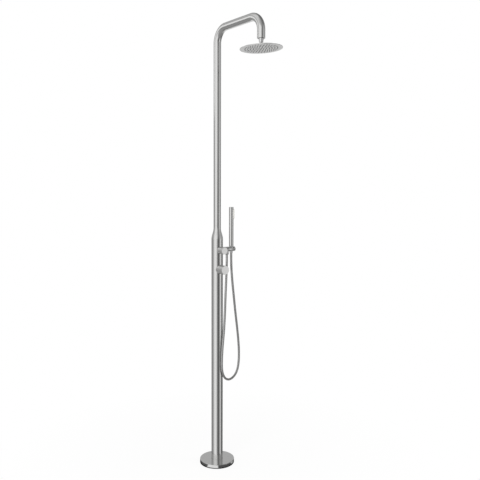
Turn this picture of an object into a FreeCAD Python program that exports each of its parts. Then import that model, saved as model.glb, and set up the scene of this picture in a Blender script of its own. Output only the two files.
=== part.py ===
import FreeCAD, Part
import math
import os
from FreeCAD import Vector

# Outdoor shower post: a stainless column on a round floor flange, with a
# mixer knob, a diverter knob with a side arm that holds a stick handset on
# its hose, and a bent riser that carries a round head on a ball joint.
#
# Millimetres. The origin is the centre of the flange's underside on the
# floor. +Z is up, -Y is the way the arm and the knobs point, and +X is the
# side of the handset.

os.makedirs("parts", exist_ok=True)

# ---------------------------------------------------------------- sizes
TOUCH = 0.02            # gap between curved faces that are soldered or glued
SNUG = 0.1              # radial gap of a push fit that a screw then locks
RUNNING = 0.06          # radial gap of a part that turns in another
FREE = 0.3              # gap between parts that move past each other

# floor fixing
FLANGE_OD = 180.0
FLANGE_HEIGHT = 20.0
FLANGE_SHEET = 2.0
FLANGE_EDGE = 1.6       # rounding of the flange's top edge
COVER_SEAL_WIDTH = 3.0
COVER_SEAL_HEIGHT = 2.5
PLATE_OD = 150.0
PLATE_THICKNESS = 8.0
STUB_WALL = 3.0
STUB_HEIGHT = 70.0
ANCHOR_COUNT = 4
ANCHOR_CIRCLE = 118.0
ANCHOR_OD = 8.0
ANCHOR_SLEEVE_OD = 10.0  # expanding sleeve, from the tip up to the plate
ANCHOR_HOLE_GAP = 0.5
ANCHOR_DEPTH = 60.0
ANCHOR_TIP = 4.0
ANCHOR_PROUD = 1.0
NUT_FLATS = 13.0
NUT_HEIGHT = 6.5
WASHER_OD = 18.0
WASHER_THICKNESS = 1.6

# column and riser
COLUMN_OD = 60.3
COLUMN_WALL = 2.0
RISER_OD = 38.0
RISER_WALL = 1.5
REDUCER_LENGTH = 60.0
NECK_LENGTH = 14.0
SPIGOT_WALL = 2.0
SPIGOT_DEPTH = 22.0
SPIGOT_RISE = 38.0
ARM_HEIGHT = 2248.0     # axis of the arm above the floor
ARM_REACH = 345.0       # axis of the column to axis of the drop pipe
DROP_LENGTH = 110.0     # axis of the arm down to the end of the drop pipe
BEND_RADIUS = 72.0
SCREW_OD = 5.0          # grub screws of the column, spigot and knobs
SCREW_LENGTH = 5.0
COLUMN_SCREW_COUNT = 3
COLUMN_SCREW_HEIGHT = 13.0

# valves: one barrel of the same make for each knob
MIXER_HEIGHT = 1034.0
VALVE_SPACING = 99.0
REDUCER_ABOVE_DIVERTER = 55.0
MIXER_OD = 45.8
MIXER_SLEEVE_END = 46.0
MIXER_KNOB_FACE = 72.0
DIVERTER_OD = 36.6
DIVERTER_SLEEVE_END = 52.4
DIVERTER_KNOB_FACE = 66.0
SLEEVE_WALL = 2.4
KNOB_GAP = 0.6
KNOB_EDGE = 0.8
BARREL_BACK = 12.0      # how far a valve body reaches behind the axis
CARTRIDGE_WALL = 3.6
CARTRIDGE_LENGTH = 16.0
NUT_RING_LENGTH = 5.0
SPINDLE_OD = 8.0
SPINDLE_IN_KNOB = 7.0
PORT_OD = 20.0
PORT_LENGTH = 34.0
SOCKET_DEPTH = 12.0

# water pipes inside the column
SUPPLY_OD = 15.0
SUPPLY_WALL = 1.0
SUPPLY_SPACING = 24.0
SUPPLY_TAIL = 40.0      # length left below the floor for the plumber
BEAD_DEPTH = 4.5        # rolled bead that a coupling on the tail stops at
BEAD_R = 1.5
UNION_FLATS = 22.0
UNION_HEIGHT = 12.0
INNER_TUBE_WALL = 2.0

# holder arm with the hose outlet
ARM_AXIS_Y = -38.0
ARM_ABOVE_DIVERTER = 5.0
ARM_OD = 25.0
ARM_END_X = 82.0
ARM_EDGE = 1.0
TAIL_OD = 18.0
WATERWAY_OD = 8.0
OUTLET_X = 34.0
HANDSET_X = 62.0
NIPPLE_OD = 15.0
NIPPLE_LENGTH = 8.0     # below the arm, inside the nut
NIPPLE_DEPTH = 4.0      # into the arm
OUTLET_NUT_OD = 19.6
OUTLET_NUT_LENGTH = 17.2
OUTLET_NUT_TAPER = 5.0
HOSE_WASHER_THICKNESS = 2.0
SLOT_GAP = 0.5          # room at each side of the hose in the arm's slot

# hose
HOSE_OD = 12.0
CONE_TOP_OD = 18.8
CONE_BOTTOM_OD = 14.6
CONE_BELOW_ARM = 9.5
CONE_BORE_DEPTH = 16.0

# stick handset
HANDSET_OD = 23.5
HANDSET_WALL = 1.5
HANDSET_LENGTH = 203.7  # foot to cap
HANDSET_FOOT_GAP = 0.8  # above the arm
FOOT_HEIGHT = 3.0
FOOT_CHAMFER = 1.6
CAP_HEIGHT = 3.0
CAP_SPIGOT = 8.0
TAIL_THREAD_OD = 12.0
SPRAY_AZIMUTH = -30.0   # degrees from +X, seen from above
SPRAY_LENGTH = 51.0
SPRAY_BELOW_TOP = 12.0
SPRAY_WIDTH = 14.0
SPRAY_PROUD = 4.2
SPRAY_DEPTH = 3.0       # how deep the strip sits in the tube
SPRAY_EDGE = 1.4
SPRAY_NOZZLE_COLUMNS = 3
SPRAY_NOZZLE_ROWS = 9
SPRAY_NOZZLE_PITCH = 4.4
SPRAY_NOZZLE_OD = 2.0
SPRAY_NOZZLE_TIP_OD = 1.4
SPRAY_NOZZLE_HEIGHT = 0.8

# ball joint and shower head
BALL_BELOW_PIPE = 29.0
BALL_OD = 19.0
SEAT_WALL = 2.0
SEAT_HALF_HEIGHT = 4.6
PLUG_LENGTH = 28.0
PLUG_SOCKET = 9.0
PLUG_RECESS = 1.0
STUD_THREAD_OD = 16.0
STUD_THREAD_LENGTH = 14.0
STUD_NUT_OD = 23.4
STUD_NUT_LENGTH = 9.0
STUD_NECK_TOP_OD = 21.0
STUD_NECK_OD = 12.0
STUD_WATERWAY_OD = 6.0
STRAINER_THICKNESS = 2.0
COLLAR_OD = 29.0
COLLAR_TOP_OD = 21.5
COLLAR_ABOVE_BALL = 6.5
COLLAR_BELOW_BALL = 8.0
HUB_BOSS_OD = 25.6
HUB_FLANGE_OD = 60.0
HUB_FLANGE_THICKNESS = 2.0
HUB_BELOW_BALL = 14.0
HEAD_OD = 200.0
HEAD_LIP = 1.4          # width of the shell's rim round the spray plate
SHELL_SHEET = 1.0
PLATE_SHEET = 1.0
CHAMBER = 1.5           # height of the water chamber under the hub
SEAL_WIDTH = 3.0
SEAL_THICKNESS = 0.6
NOZZLE_RINGS = 6
NOZZLES_PER_RING_STEP = 6
NOZZLE_RING_PITCH = 12.7
NOZZLE_OD = 3.6
NOZZLE_TIP_OD = 2.4
NOZZLE_HEIGHT = 1.8
HEAD_TILT = 2.9         # degrees, as the head hangs
TILT_AXIS_AZIMUTH = 38.0  # degrees from -Y towards -X

# Route of the shower hose's centre line between its two ends: down past the
# mixer knob to the column, round the loop and up to the handset. Heights are
# from the holder arm's axis.
HOSE_ROUTE = [
    (34, -38, -83), (36, -30, -163), (31, -31, -248), (26, -33, -338), (18, -36.5, -426),
    (8, -38, -504), (2, -38.5, -578), (4, -37, -638), (22, -32, -677), (54, -23, -699),
    (92, -13, -698), (124, -5, -677), (142, 0, -639), (146, 0, -576), (138, -4, -502),
    (123, -11, -424), (103, -21, -336), (86, -29, -246), (70, -36, -160), (62, -38, -78),
]

# ------------------------------------------------- sizes that follow
UP = Vector(0, 0, 1)
FRONT = Vector(0, -1, 0)
SIDE = Vector(1, 0, 0)
SAME_PLACE = 0.001      # two heights or distances this close are one

diverter_height = MIXER_HEIGHT + VALVE_SPACING
arm_axis_z = diverter_height + ARM_ABOVE_DIVERTER
reducer_bottom = diverter_height + REDUCER_ABOVE_DIVERTER
drop_end = ARM_HEIGHT - DROP_LENGTH
ball_height = drop_end - BALL_BELOW_PIPE
column_r = COLUMN_OD / 2
column_bore_r = column_r - COLUMN_WALL
riser_r = RISER_OD / 2
riser_bore_r = riser_r - RISER_WALL
reducer_top = reducer_bottom + REDUCER_LENGTH
neck_top = reducer_top + NECK_LENGTH
hose_r = HOSE_OD / 2
handset_r = HANDSET_OD / 2
handset_foot = arm_axis_z + ARM_OD / 2 + HANDSET_FOOT_GAP
handset_top = handset_foot + HANDSET_LENGTH
spray_top = handset_top - SPRAY_BELOW_TOP
spray_bottom = spray_top - SPRAY_LENGTH
arm_bottom = arm_axis_z - ARM_OD / 2
cone_bottom = arm_bottom - CONE_BELOW_ARM
cone_top = handset_foot - FREE
outlet_nut_top = arm_bottom - FREE
outlet_nut_bottom = outlet_nut_top - OUTLET_NUT_LENGTH
supply_r = SUPPLY_OD / 2
ball = Vector(0, -ARM_REACH, ball_height)
ball_r = BALL_OD / 2
seat_r = ball_r + SEAT_WALL
cavity_r = seat_r + RUNNING
hub_bottom = ball_height - HUB_BELOW_BALL
head_bottom = hub_bottom - SHELL_SHEET - CHAMBER - PLATE_SHEET
plug_bottom = drop_end + PLUG_RECESS
plug_top = plug_bottom + PLUG_LENGTH


# ---------------------------------------------------------- small tools
def at(x, y, z):
    return Vector(x, y, z)


def rod(radius, start, direction, length):
    return Part.makeCylinder(radius, length, start, direction)


def tube(outer, inner, start, direction, length):
    return rod(outer, start, direction, length).cut(rod(inner, start, direction, length))


def cone(start_radius, end_radius, start, direction, length):
    return Part.makeCone(start_radius, end_radius, length, start, direction)


def turned(profile, start, direction):
    """A solid turned from (radius, distance along the axis) points."""
    corners = [Vector(radius, 0, height) for radius, height in profile]
    face = Part.Face(Part.makePolygon(corners + corners[:1]))
    return placed(face.revolve(Vector(0, 0, 0), UP, 360), start, direction)


def placed(shape, start, direction):
    """Moves a shape from the origin and +Z to a start point and a direction."""
    shape.Placement = FreeCAD.Placement(start, FreeCAD.Rotation(UP, direction))
    return shape


def hex_prism(flats, height, centre):
    corner_r = flats / math.sqrt(3)
    corners = [
        centre + Vector(corner_r * math.cos(k * math.pi / 3), corner_r * math.sin(k * math.pi / 3), 0)
        for k in range(6)
    ]
    face = Part.Face(Part.makePolygon(corners + corners[:1]))
    return face.extrude(Vector(0, 0, height))


def rounded_route(points, radii):
    """Straight runs joined by tangent arcs, one radius for each inner point."""
    edges = []
    start = points[0]
    for before, corner, after, radius in zip(points, points[1:], points[2:], radii):
        back = (before - corner).normalize()
        ahead = (after - corner).normalize()
        half_turn = (math.pi - back.getAngle(ahead)) / 2
        reach = radius * math.tan(half_turn)
        first = corner + back * reach
        last = corner + ahead * reach
        inward = (back + ahead).normalize()
        middle = corner + inward * (radius / math.cos(half_turn) - radius)
        edges.append(Part.LineSegment(start, first).toShape())
        edges.append(Part.Arc(first, middle, last).toShape())
        start = last
    edges.append(Part.LineSegment(start, points[-1]).toShape())
    return Part.Wire(edges)


def along(route, radius):
    """A round bar that follows a route."""
    start = route.Vertexes[0].Point
    direction = route.Edges[0].tangentAt(route.Edges[0].FirstParameter)
    section = Part.Wire(Part.makeCircle(radius, start, direction))
    return route.makePipeShell([section], True, False)


def swaged(outer_r, top_r, bottom, top, start, end):
    """A turned bar whose radius eases from one size to another by two arcs."""
    half = (top - bottom) / 2
    step = (outer_r - top_r) / 2
    bow_r = (half ** 2 + step ** 2) / (2 * step)
    lean = math.asin(half / bow_r) / 2
    sag = bow_r * (1 - math.cos(lean))
    rise = bow_r * math.sin(lean)
    points = {
        "foot": Vector(0, 0, start),
        "foot_edge": Vector(outer_r, 0, start),
        "bottom": Vector(outer_r, 0, bottom),
        "low_bow": Vector(outer_r - sag, 0, bottom + rise),
        "middle": Vector(outer_r - step, 0, bottom + half),
        "high_bow": Vector(top_r + sag, 0, top - rise),
        "top": Vector(top_r, 0, top),
        "end_edge": Vector(top_r, 0, end),
        "end": Vector(0, 0, end),
    }
    edges = [
        Part.LineSegment(points["foot"], points["foot_edge"]).toShape(),
        Part.LineSegment(points["foot_edge"], points["bottom"]).toShape(),
        Part.Arc(points["bottom"], points["low_bow"], points["middle"]).toShape(),
        Part.Arc(points["middle"], points["high_bow"], points["top"]).toShape(),
        Part.LineSegment(points["top"], points["end_edge"]).toShape(),
        Part.LineSegment(points["end_edge"], points["end"]).toShape(),
        Part.LineSegment(points["end"], points["foot"]).toShape(),
    ]
    return Part.Face(Part.Wire(edges)).revolve(Vector(0, 0, 0), UP, 360)


def around(count, radius, height, start_angle=0.0):
    """Points evenly spaced on a level circle about the column's axis."""
    points = []
    for k in range(count):
        angle = math.radians(start_angle + 360.0 * k / count)
        points.append(Vector(radius * math.cos(angle), radius * math.sin(angle), height))
    return points


def group(solids):
    return Part.makeCompound(solids)


def save(name, shape):
    if len(shape.Solids) == 1:
        shape = shape.Solids[0]
    if not shape.isValid():
        raise ValueError(name + " isn't a valid solid")
    shape.exportStep("parts/" + name + ".step")
    print(name, len(shape.Solids), "solid(s),", round(shape.Volume / 1000, 2), "cm3")


# ---------------------------------------------------------- floor fixing
anchor_r = ANCHOR_OD / 2
washer_bore_r = anchor_r + ANCHOR_HOLE_GAP
plate_hole_r = ANCHOR_SLEEVE_OD / 2 + ANCHOR_HOLE_GAP
stub_r = column_bore_r - SNUG
washer_top = PLATE_THICKNESS + WASHER_THICKNESS
nut_top = washer_top + NUT_HEIGHT


def anchor_points(height):
    return around(ANCHOR_COUNT, ANCHOR_CIRCLE / 2, height, 45.0)


def floor_plate():
    plate = rod(PLATE_OD / 2, at(0, 0, 0), UP, PLATE_THICKNESS)
    stub = rod(stub_r, at(0, 0, PLATE_THICKNESS), UP, STUB_HEIGHT)
    shape = plate.fuse(stub)
    shape = shape.cut(rod(stub_r - STUB_WALL, at(0, 0, 0), UP, PLATE_THICKNESS + STUB_HEIGHT))
    for point in anchor_points(0):
        shape = shape.cut(rod(plate_hole_r, point, UP, PLATE_THICKNESS))
    for point, outward in column_screw_seats():
        shape = shape.cut(rod(SCREW_OD / 2 + TOUCH, point, outward, SCREW_LENGTH))
    return shape.removeSplitter()


def floor_anchors():
    """Sleeve anchors: a stud through the plate, in a wider sleeve in the floor."""
    anchors = []
    sleeve_r = ANCHOR_SLEEVE_OD / 2
    for point in anchor_points(0):
        stud = rod(anchor_r, point, UP, nut_top + ANCHOR_PROUD)
        sleeve = rod(sleeve_r, point, UP * -1, ANCHOR_DEPTH - ANCHOR_TIP)
        tip = cone(anchor_r, sleeve_r, point - UP * ANCHOR_DEPTH, UP, ANCHOR_TIP)
        anchors.append(stud.fuse([sleeve, tip]))
    return group(anchors)


def anchor_washers():
    return group([
        tube(WASHER_OD / 2, washer_bore_r, point, UP, WASHER_THICKNESS)
        for point in anchor_points(PLATE_THICKNESS)
    ])


def anchor_nuts():
    return group([
        hex_prism(NUT_FLATS, NUT_HEIGHT, point).cut(rod(anchor_r + TOUCH, point, UP, NUT_HEIGHT))
        for point in anchor_points(washer_top)
    ])


def cover_flange():
    outer_r = FLANGE_OD / 2
    bore_r = column_r + FREE
    shell = rod(outer_r, at(0, 0, 0), UP, FLANGE_HEIGHT)
    top_rim = [edge for edge in shell.Edges if is_circle_at(edge, FLANGE_HEIGHT)]
    shell = shell.makeFillet(FLANGE_EDGE, top_rim)
    shell = shell.cut(rod(outer_r - FLANGE_SHEET, at(0, 0, 0), UP, FLANGE_HEIGHT - FLANGE_SHEET))
    return shell.cut(rod(bore_r, at(0, 0, 0), UP, FLANGE_HEIGHT))


def cover_seal():
    """The ring under the cover's sheet that keeps water out round the column."""
    bottom = FLANGE_HEIGHT - FLANGE_SHEET - COVER_SEAL_HEIGHT
    inner_r = column_r + TOUCH
    return tube(inner_r + COVER_SEAL_WIDTH, inner_r, at(0, 0, bottom), UP, COVER_SEAL_HEIGHT)


def is_circle_at(edge, height):
    """True for a level circle at that height, and false for a seam line."""
    box = edge.BoundBox
    return box.ZLength < SAME_PLACE and abs(box.ZMin - height) < SAME_PLACE


def column_screw_seats():
    """Outer end and inward direction of each screw that holds the column."""
    seats = []
    for point in around(COLUMN_SCREW_COUNT, column_r, COLUMN_SCREW_HEIGHT, 90.0):
        inward = Vector(-point.x, -point.y, 0).normalize()
        seats.append((point, inward))
    return seats


def column_set_screws():
    return group([rod(SCREW_OD / 2, point, inward, SCREW_LENGTH) for point, inward in column_screw_seats()])


# ------------------------------------------------------ column and riser
spigot_r = riser_bore_r - SNUG
spigot_bottom = neck_top - SPIGOT_DEPTH
spigot_length = SPIGOT_DEPTH + SPIGOT_RISE
riser_screw_points = [
    at(0, riser_r, neck_top - NECK_LENGTH / 2),
    at(0, riser_r, neck_top + SPIGOT_RISE / 2),
]


def valve_window(height, outer_diameter):
    """The round window in the front of the column for a valve barrel."""
    return rod(outer_diameter / 2 - SLEEVE_WALL, at(0, 0, height), FRONT, COLUMN_OD)


def riser_screw_holes():
    return group([
        rod(SCREW_OD / 2 + TOUCH, point, at(0, -1, 0), SCREW_LENGTH) for point in riser_screw_points
    ])


def lower_column():
    outside = swaged(column_r, riser_r, reducer_bottom, reducer_top, PLATE_THICKNESS, neck_top)
    inside = swaged(column_bore_r, riser_bore_r, reducer_bottom, reducer_top, PLATE_THICKNESS, neck_top)
    shape = outside.cut(inside)
    shape = shape.cut(valve_window(MIXER_HEIGHT, MIXER_OD))
    shape = shape.cut(valve_window(diverter_height, DIVERTER_OD))
    for point, inward in column_screw_seats():
        shape = shape.cut(rod(SCREW_OD / 2 + TOUCH, point, inward, SCREW_LENGTH))
    return shape.cut(riser_screw_holes())


def riser_route(bottom, end):
    corners = [
        at(0, 0, bottom),
        at(0, 0, ARM_HEIGHT),
        at(0, -ARM_REACH, ARM_HEIGHT),
        at(0, -ARM_REACH, end),
    ]
    return rounded_route(corners, [BEND_RADIUS, BEND_RADIUS])


def riser_pipe():
    route = riser_route(neck_top, drop_end)
    shape = along(route, riser_r).cut(along(route, riser_bore_r))
    return shape.cut(riser_screw_holes())


def riser_spigot():
    shape = tube(spigot_r, spigot_r - SPIGOT_WALL, at(0, 0, spigot_bottom), UP, spigot_length)
    return shape.cut(riser_screw_holes())


def riser_set_screws():
    inner_end = spigot_r - SPIGOT_WALL
    length = riser_r - inner_end
    return group([rod(SCREW_OD / 2, point, at(0, -1, 0), length) for point in riser_screw_points])


# ----------------------------------------------------------------- valves
class Valve:
    """A cartridge valve in a sleeve on the front of the column."""

    def __init__(self, height, outer_diameter, sleeve_end, knob_face, ports):
        self.height = height
        self.radius = outer_diameter / 2
        self.bore_r = self.radius - SLEEVE_WALL
        self.sleeve_end = sleeve_end
        self.knob_back = sleeve_end + KNOB_GAP
        self.knob_face = knob_face
        self.ports = ports
        self.body_r = self.bore_r - SNUG
        self.cartridge_r = self.body_r - CARTRIDGE_WALL
        self.nut_front = sleeve_end
        self.nut_back = sleeve_end - NUT_RING_LENGTH
        self.cartridge_back = self.nut_back - CARTRIDGE_LENGTH
        self.spindle_r = SPINDLE_OD / 2
        self.spindle_front = self.knob_back + SPINDLE_IN_KNOB
        self.spindle_back = self.nut_back - CARTRIDGE_LENGTH / 2

    def on_axis(self, distance):
        return at(0, -distance, self.height)

    def bar(self, radius, back, front):
        return rod(radius, self.on_axis(back), FRONT, front - back)

    def sleeve(self):
        shape = self.bar(self.radius, 0, self.sleeve_end)
        shape = shape.cut(self.bar(self.bore_r, 0, self.sleeve_end))
        return shape.cut(column_clearance())

    def body(self):
        shape = self.bar(self.body_r, -BARREL_BACK, self.nut_back)
        for x, direction in self.ports:
            start = at(x, 0, self.height)
            shape = shape.fuse(rod(PORT_OD / 2, start, UP * direction, PORT_LENGTH))
        inside = rod(column_bore_r - SNUG, at(0, 0, self.height - PORT_LENGTH), UP, 2 * PORT_LENGTH)
        front = self.bar(self.body_r, 0, self.nut_back)
        shape = shape.common(inside.fuse(front))
        shape = shape.cut(self.bar(self.cartridge_r, self.cartridge_back, self.nut_back))
        for x, direction in self.ports:
            mouth = at(x, 0, self.height + direction * PORT_LENGTH)
            elbow = at(x, 0, self.height + direction * self.cartridge_r / 3)
            drilled = rod(WATERWAY_OD / 2, mouth, UP * -direction, (mouth - elbow).Length)
            crossing = rod(WATERWAY_OD / 2, elbow, FRONT, self.cartridge_back)
            socket = rod(supply_r + TOUCH, mouth, UP * -direction, SOCKET_DEPTH)
            shape = shape.cut([drilled, crossing, socket])
        return shape.removeSplitter()

    def cartridge(self):
        shape = self.bar(self.cartridge_r - TOUCH, self.cartridge_back, self.nut_back)
        return shape.cut(self.bar(self.spindle_r + RUNNING, self.spindle_back - FREE, self.nut_back))

    def retaining_nut(self):
        shape = self.bar(self.bore_r - TOUCH, self.nut_back, self.nut_front)
        return shape.cut(self.bar(self.spindle_r + RUNNING, self.nut_back, self.nut_front))

    def spindle(self):
        return self.bar(self.spindle_r, self.spindle_back, self.spindle_front)

    def knob(self):
        shape = self.bar(self.radius, self.knob_back, self.knob_face)
        rims = [edge for edge in shape.Edges if self.is_rim(edge, self.knob_face)]
        shape = shape.makeFillet(KNOB_EDGE, rims)
        spindle_bore = self.bar(self.spindle_r, self.knob_back, self.spindle_front)
        screw_hole = rod(SCREW_OD / 2, self.under_knob(self.radius), UP, self.radius)
        return shape.cut([spindle_bore, screw_hole])

    def is_rim(self, edge, distance):
        box = edge.BoundBox
        return box.YLength < SAME_PLACE and abs(box.YMin + distance) < SAME_PLACE

    def under_knob(self, depth):
        """A point straight below the axis, midway along the spindle's bore in the knob."""
        middle = (self.knob_back + self.spindle_front) / 2
        return self.on_axis(middle) - UP * depth

    def knob_screw(self):
        return rod(SCREW_OD / 2, self.under_knob(self.spindle_r + SCREW_LENGTH), UP, SCREW_LENGTH)


def column_clearance():
    """The room that the column takes out of a piece saddled onto it."""
    return rod(column_r + TOUCH, at(0, 0, PLATE_THICKNESS), UP, reducer_bottom)


mixer = Valve(
    MIXER_HEIGHT, MIXER_OD, MIXER_SLEEVE_END, MIXER_KNOB_FACE,
    [(-SUPPLY_SPACING / 2, -1), (SUPPLY_SPACING / 2, -1), (0, 1)],
)
diverter = Valve(
    diverter_height, DIVERTER_OD, DIVERTER_SLEEVE_END, DIVERTER_KNOB_FACE,
    [(0, -1), (0, 1)],
)


# ------------------------------------------------------------ water pipes
mixer_inlet = MIXER_HEIGHT - PORT_LENGTH
mixer_outlet = MIXER_HEIGHT + PORT_LENGTH
diverter_inlet = diverter_height - PORT_LENGTH
diverter_outlet = diverter_height + PORT_LENGTH


def supply_pipe(side):
    """A pipe from under the floor to the mixer, with a rolled bead above its tail."""
    bottom = at(side * SUPPLY_SPACING / 2, 0, -SUPPLY_TAIL)
    length = mixer_inlet + SOCKET_DEPTH + SUPPLY_TAIL
    bead = Part.makeTorus(supply_r, BEAD_R, at(bottom.x, 0, -BEAD_DEPTH), UP)
    outside = rod(supply_r, bottom, UP, length).fuse(bead)
    return outside.cut(rod(supply_r - SUPPLY_WALL, bottom, UP, length))


def supply_unions():
    nuts = []
    for side in (-1, 1):
        base = at(side * SUPPLY_SPACING / 2, 0, mixer_inlet - UNION_HEIGHT)
        nut = hex_prism(UNION_FLATS, UNION_HEIGHT, at(0, 0, 0))
        nut.rotate(Vector(0, 0, 0), UP, 30)
        nut.translate(base)
        nuts.append(nut.cut(rod(supply_r + TOUCH, base, UP, UNION_HEIGHT)))
    return group(nuts)


def link_pipe():
    bottom = mixer_outlet - SOCKET_DEPTH
    length = diverter_inlet + SOCKET_DEPTH - bottom
    return tube(supply_r, supply_r - SUPPLY_WALL, at(0, 0, bottom), UP, length)


def inner_water_tube():
    route = riser_route(diverter_outlet - SOCKET_DEPTH, plug_top - PLUG_SOCKET)
    return along(route, supply_r).cut(along(route, supply_r - INNER_TUBE_WALL))


# ------------------------------------------------------------- holder arm
tail_start = diverter.cartridge_r + FREE
nipple_top = arm_bottom + NIPPLE_DEPTH
nipple_bottom = outlet_nut_top - NIPPLE_LENGTH
waterway_r = WATERWAY_OD / 2


def on_arm(x):
    return at(x, ARM_AXIS_Y, arm_axis_z)


def on_outlet(height):
    return at(OUTLET_X, ARM_AXIS_Y, height)


def on_handset(height):
    return at(HANDSET_X, ARM_AXIS_Y, height)


def cone_radius_at(height):
    share = (height - cone_bottom) / (cone_top - cone_bottom)
    return (CONE_BOTTOM_OD + share * (CONE_TOP_OD - CONE_BOTTOM_OD)) / 2


def handset_seat():
    """The tapered bore of the arm and the slot in front that the hose slips through."""
    low = arm_axis_z - ARM_OD
    high = arm_axis_z + ARM_OD
    bore = cone(cone_radius_at(low) + FREE, cone_radius_at(high) + FREE, on_handset(low), UP, high - low)
    half = hose_r + SLOT_GAP
    slot = Part.makeBox(2 * half, ARM_OD, high - low, on_handset(low) + at(-half, -ARM_OD, 0))
    return bore.fuse(slot)


def holder_arm():
    shape = rod(ARM_OD / 2, on_arm(0), SIDE, ARM_END_X)
    rims = [edge for edge in shape.Edges if edge.BoundBox.XMin > ARM_END_X - SAME_PLACE]
    shape = shape.makeChamfer(ARM_EDGE, rims)
    shape = shape.cut(diverter.bar(diverter.radius + TOUCH, 0, DIVERTER_KNOB_FACE))
    shape = shape.fuse(rod(TAIL_OD / 2, on_arm(tail_start), SIDE, OUTLET_X - tail_start))
    across = rod(waterway_r, on_arm(tail_start), SIDE, OUTLET_X - tail_start)
    down = rod(waterway_r, on_outlet(arm_bottom), UP, ARM_OD / 2)
    nipple_socket = rod(NIPPLE_OD / 2 + TOUCH, on_outlet(arm_bottom), UP, NIPPLE_DEPTH)
    return shape.cut([across, down, nipple_socket, handset_seat(), column_clearance()]).removeSplitter()


def arm_tail_hole():
    """The side hole of the diverter that takes the arm's tail, and its way in."""
    seat = rod(TAIL_OD / 2 + TOUCH, on_arm(tail_start), SIDE, DIVERTER_OD)
    return seat.fuse(rod(waterway_r, on_arm(0), SIDE, DIVERTER_OD))


def outlet_nipple():
    return tube(NIPPLE_OD / 2, waterway_r, on_outlet(nipple_bottom), UP, nipple_top - nipple_bottom)


def outlet_washer():
    start = on_outlet(nipple_bottom - HOSE_WASHER_THICKNESS)
    return tube(NIPPLE_OD / 2 - SNUG, waterway_r, start, UP, HOSE_WASHER_THICKNESS)


def outlet_nut():
    hose_end_r = hose_r + SNUG
    taper_top = outlet_nut_bottom + OUTLET_NUT_TAPER
    taper = cone(hose_end_r, OUTLET_NUT_OD / 2, on_outlet(outlet_nut_bottom), UP, OUTLET_NUT_TAPER)
    shape = taper.fuse(rod(OUTLET_NUT_OD / 2, on_outlet(taper_top), UP, outlet_nut_top - taper_top))
    seat_bottom = nipple_bottom - HOSE_WASHER_THICKNESS
    seat = rod(NIPPLE_OD / 2 + TOUCH, on_outlet(seat_bottom), UP, outlet_nut_top - seat_bottom)
    return shape.cut([seat, rod(waterway_r, on_outlet(outlet_nut_bottom), UP, OUTLET_NUT_LENGTH)])


# ------------------------------------------------------- hose and handset
thread_r = TAIL_THREAD_OD / 2
cone_bore_bottom = cone_top - CONE_BORE_DEPTH
spray_out = Vector(math.cos(math.radians(SPRAY_AZIMUTH)), math.sin(math.radians(SPRAY_AZIMUTH)), 0)
spray_across = Vector(-spray_out.y, spray_out.x, 0)
tube_bottom = handset_foot + FOOT_HEIGHT
tube_top = handset_top - CAP_HEIGHT
spray_face_r = handset_r + SPRAY_PROUD


def hose_points():
    between = [Vector(x, y, arm_axis_z + z) for x, y, z in HOSE_ROUTE]
    return [on_outlet(outlet_nut_bottom)] + between + [on_handset(cone_bottom)]


def hose_radii(points):
    """Each bend as large as its two runs allow."""
    radii = []
    for before, corner, after in zip(points, points[1:], points[2:]):
        run_in = corner - before
        run_out = after - corner
        half_turn = run_in.getAngle(run_out) / 2
        radii.append(0.45 * min(run_in.Length, run_out.Length) / math.tan(half_turn))
    return radii


def shower_hose():
    points = hose_points()
    radii = hose_radii(points)
    route = rounded_route(points, radii)
    shape = along(route, hose_r)
    plain = route.Length * math.pi * hose_r ** 2
    print("hose length", round(route.Length, 1), "tightest bend", round(min(radii), 1),
          "volume share", round(shape.Volume / plain, 4))
    print("hose bends", [round(radius) for radius in radii])
    return shape


def hose_cone():
    shape = cone(CONE_BOTTOM_OD / 2, CONE_TOP_OD / 2, on_handset(cone_bottom), UP, cone_top - cone_bottom)
    shape = shape.cut(rod(thread_r + RUNNING, on_handset(cone_bore_bottom), UP, CONE_BORE_DEPTH))
    return shape.cut(rod(waterway_r, on_handset(cone_bottom), UP, cone_top - cone_bottom))


def cone_washer():
    return tube(thread_r - SNUG, waterway_r, on_handset(cone_bore_bottom), UP, HOSE_WASHER_THICKNESS)


def handset_tail():
    bottom = cone_bore_bottom + HOSE_WASHER_THICKNESS + FREE
    chamfered = cone(handset_r - FOOT_CHAMFER, handset_r, on_handset(handset_foot), UP, FOOT_CHAMFER)
    flange = rod(handset_r, on_handset(handset_foot + FOOT_CHAMFER), UP, FOOT_HEIGHT - FOOT_CHAMFER)
    plug = rod(handset_r - HANDSET_WALL - SNUG, on_handset(tube_bottom), UP, CAP_SPIGOT)
    thread = rod(thread_r, on_handset(bottom), UP, handset_foot - bottom)
    shape = chamfered.fuse([flange, plug, thread])
    waterway = rod(waterway_r, on_handset(bottom), UP, tube_bottom + CAP_SPIGOT - bottom)
    return shape.cut(waterway).removeSplitter()


def spray_block(grow, outer_r):
    """The strip's rounded bar, from inside the tube out to a radius."""
    width = SPRAY_WIDTH + 2 * grow
    half = width / 2
    length = spray_top - spray_bottom - SPRAY_WIDTH
    inner_r = handset_r - SPRAY_DEPTH
    reach = outer_r - inner_r
    low = on_handset(spray_bottom + SPRAY_WIDTH / 2) + spray_out * inner_r
    corners = [
        low - spray_across * half,
        low + spray_across * half,
        low + spray_across * half + UP * length,
        low - spray_across * half + UP * length,
    ]
    middle = Part.Face(Part.makePolygon(corners + corners[:1])).extrude(spray_out * reach)
    ends = [rod(half, low, spray_out, reach), rod(half, low + UP * length, spray_out, reach)]
    return middle.fuse(ends)


def handset_tube():
    shape = tube(handset_r, handset_r - HANDSET_WALL, on_handset(tube_bottom), UP, tube_top - tube_bottom)
    return shape.cut(spray_block(TOUCH, spray_face_r))


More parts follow.
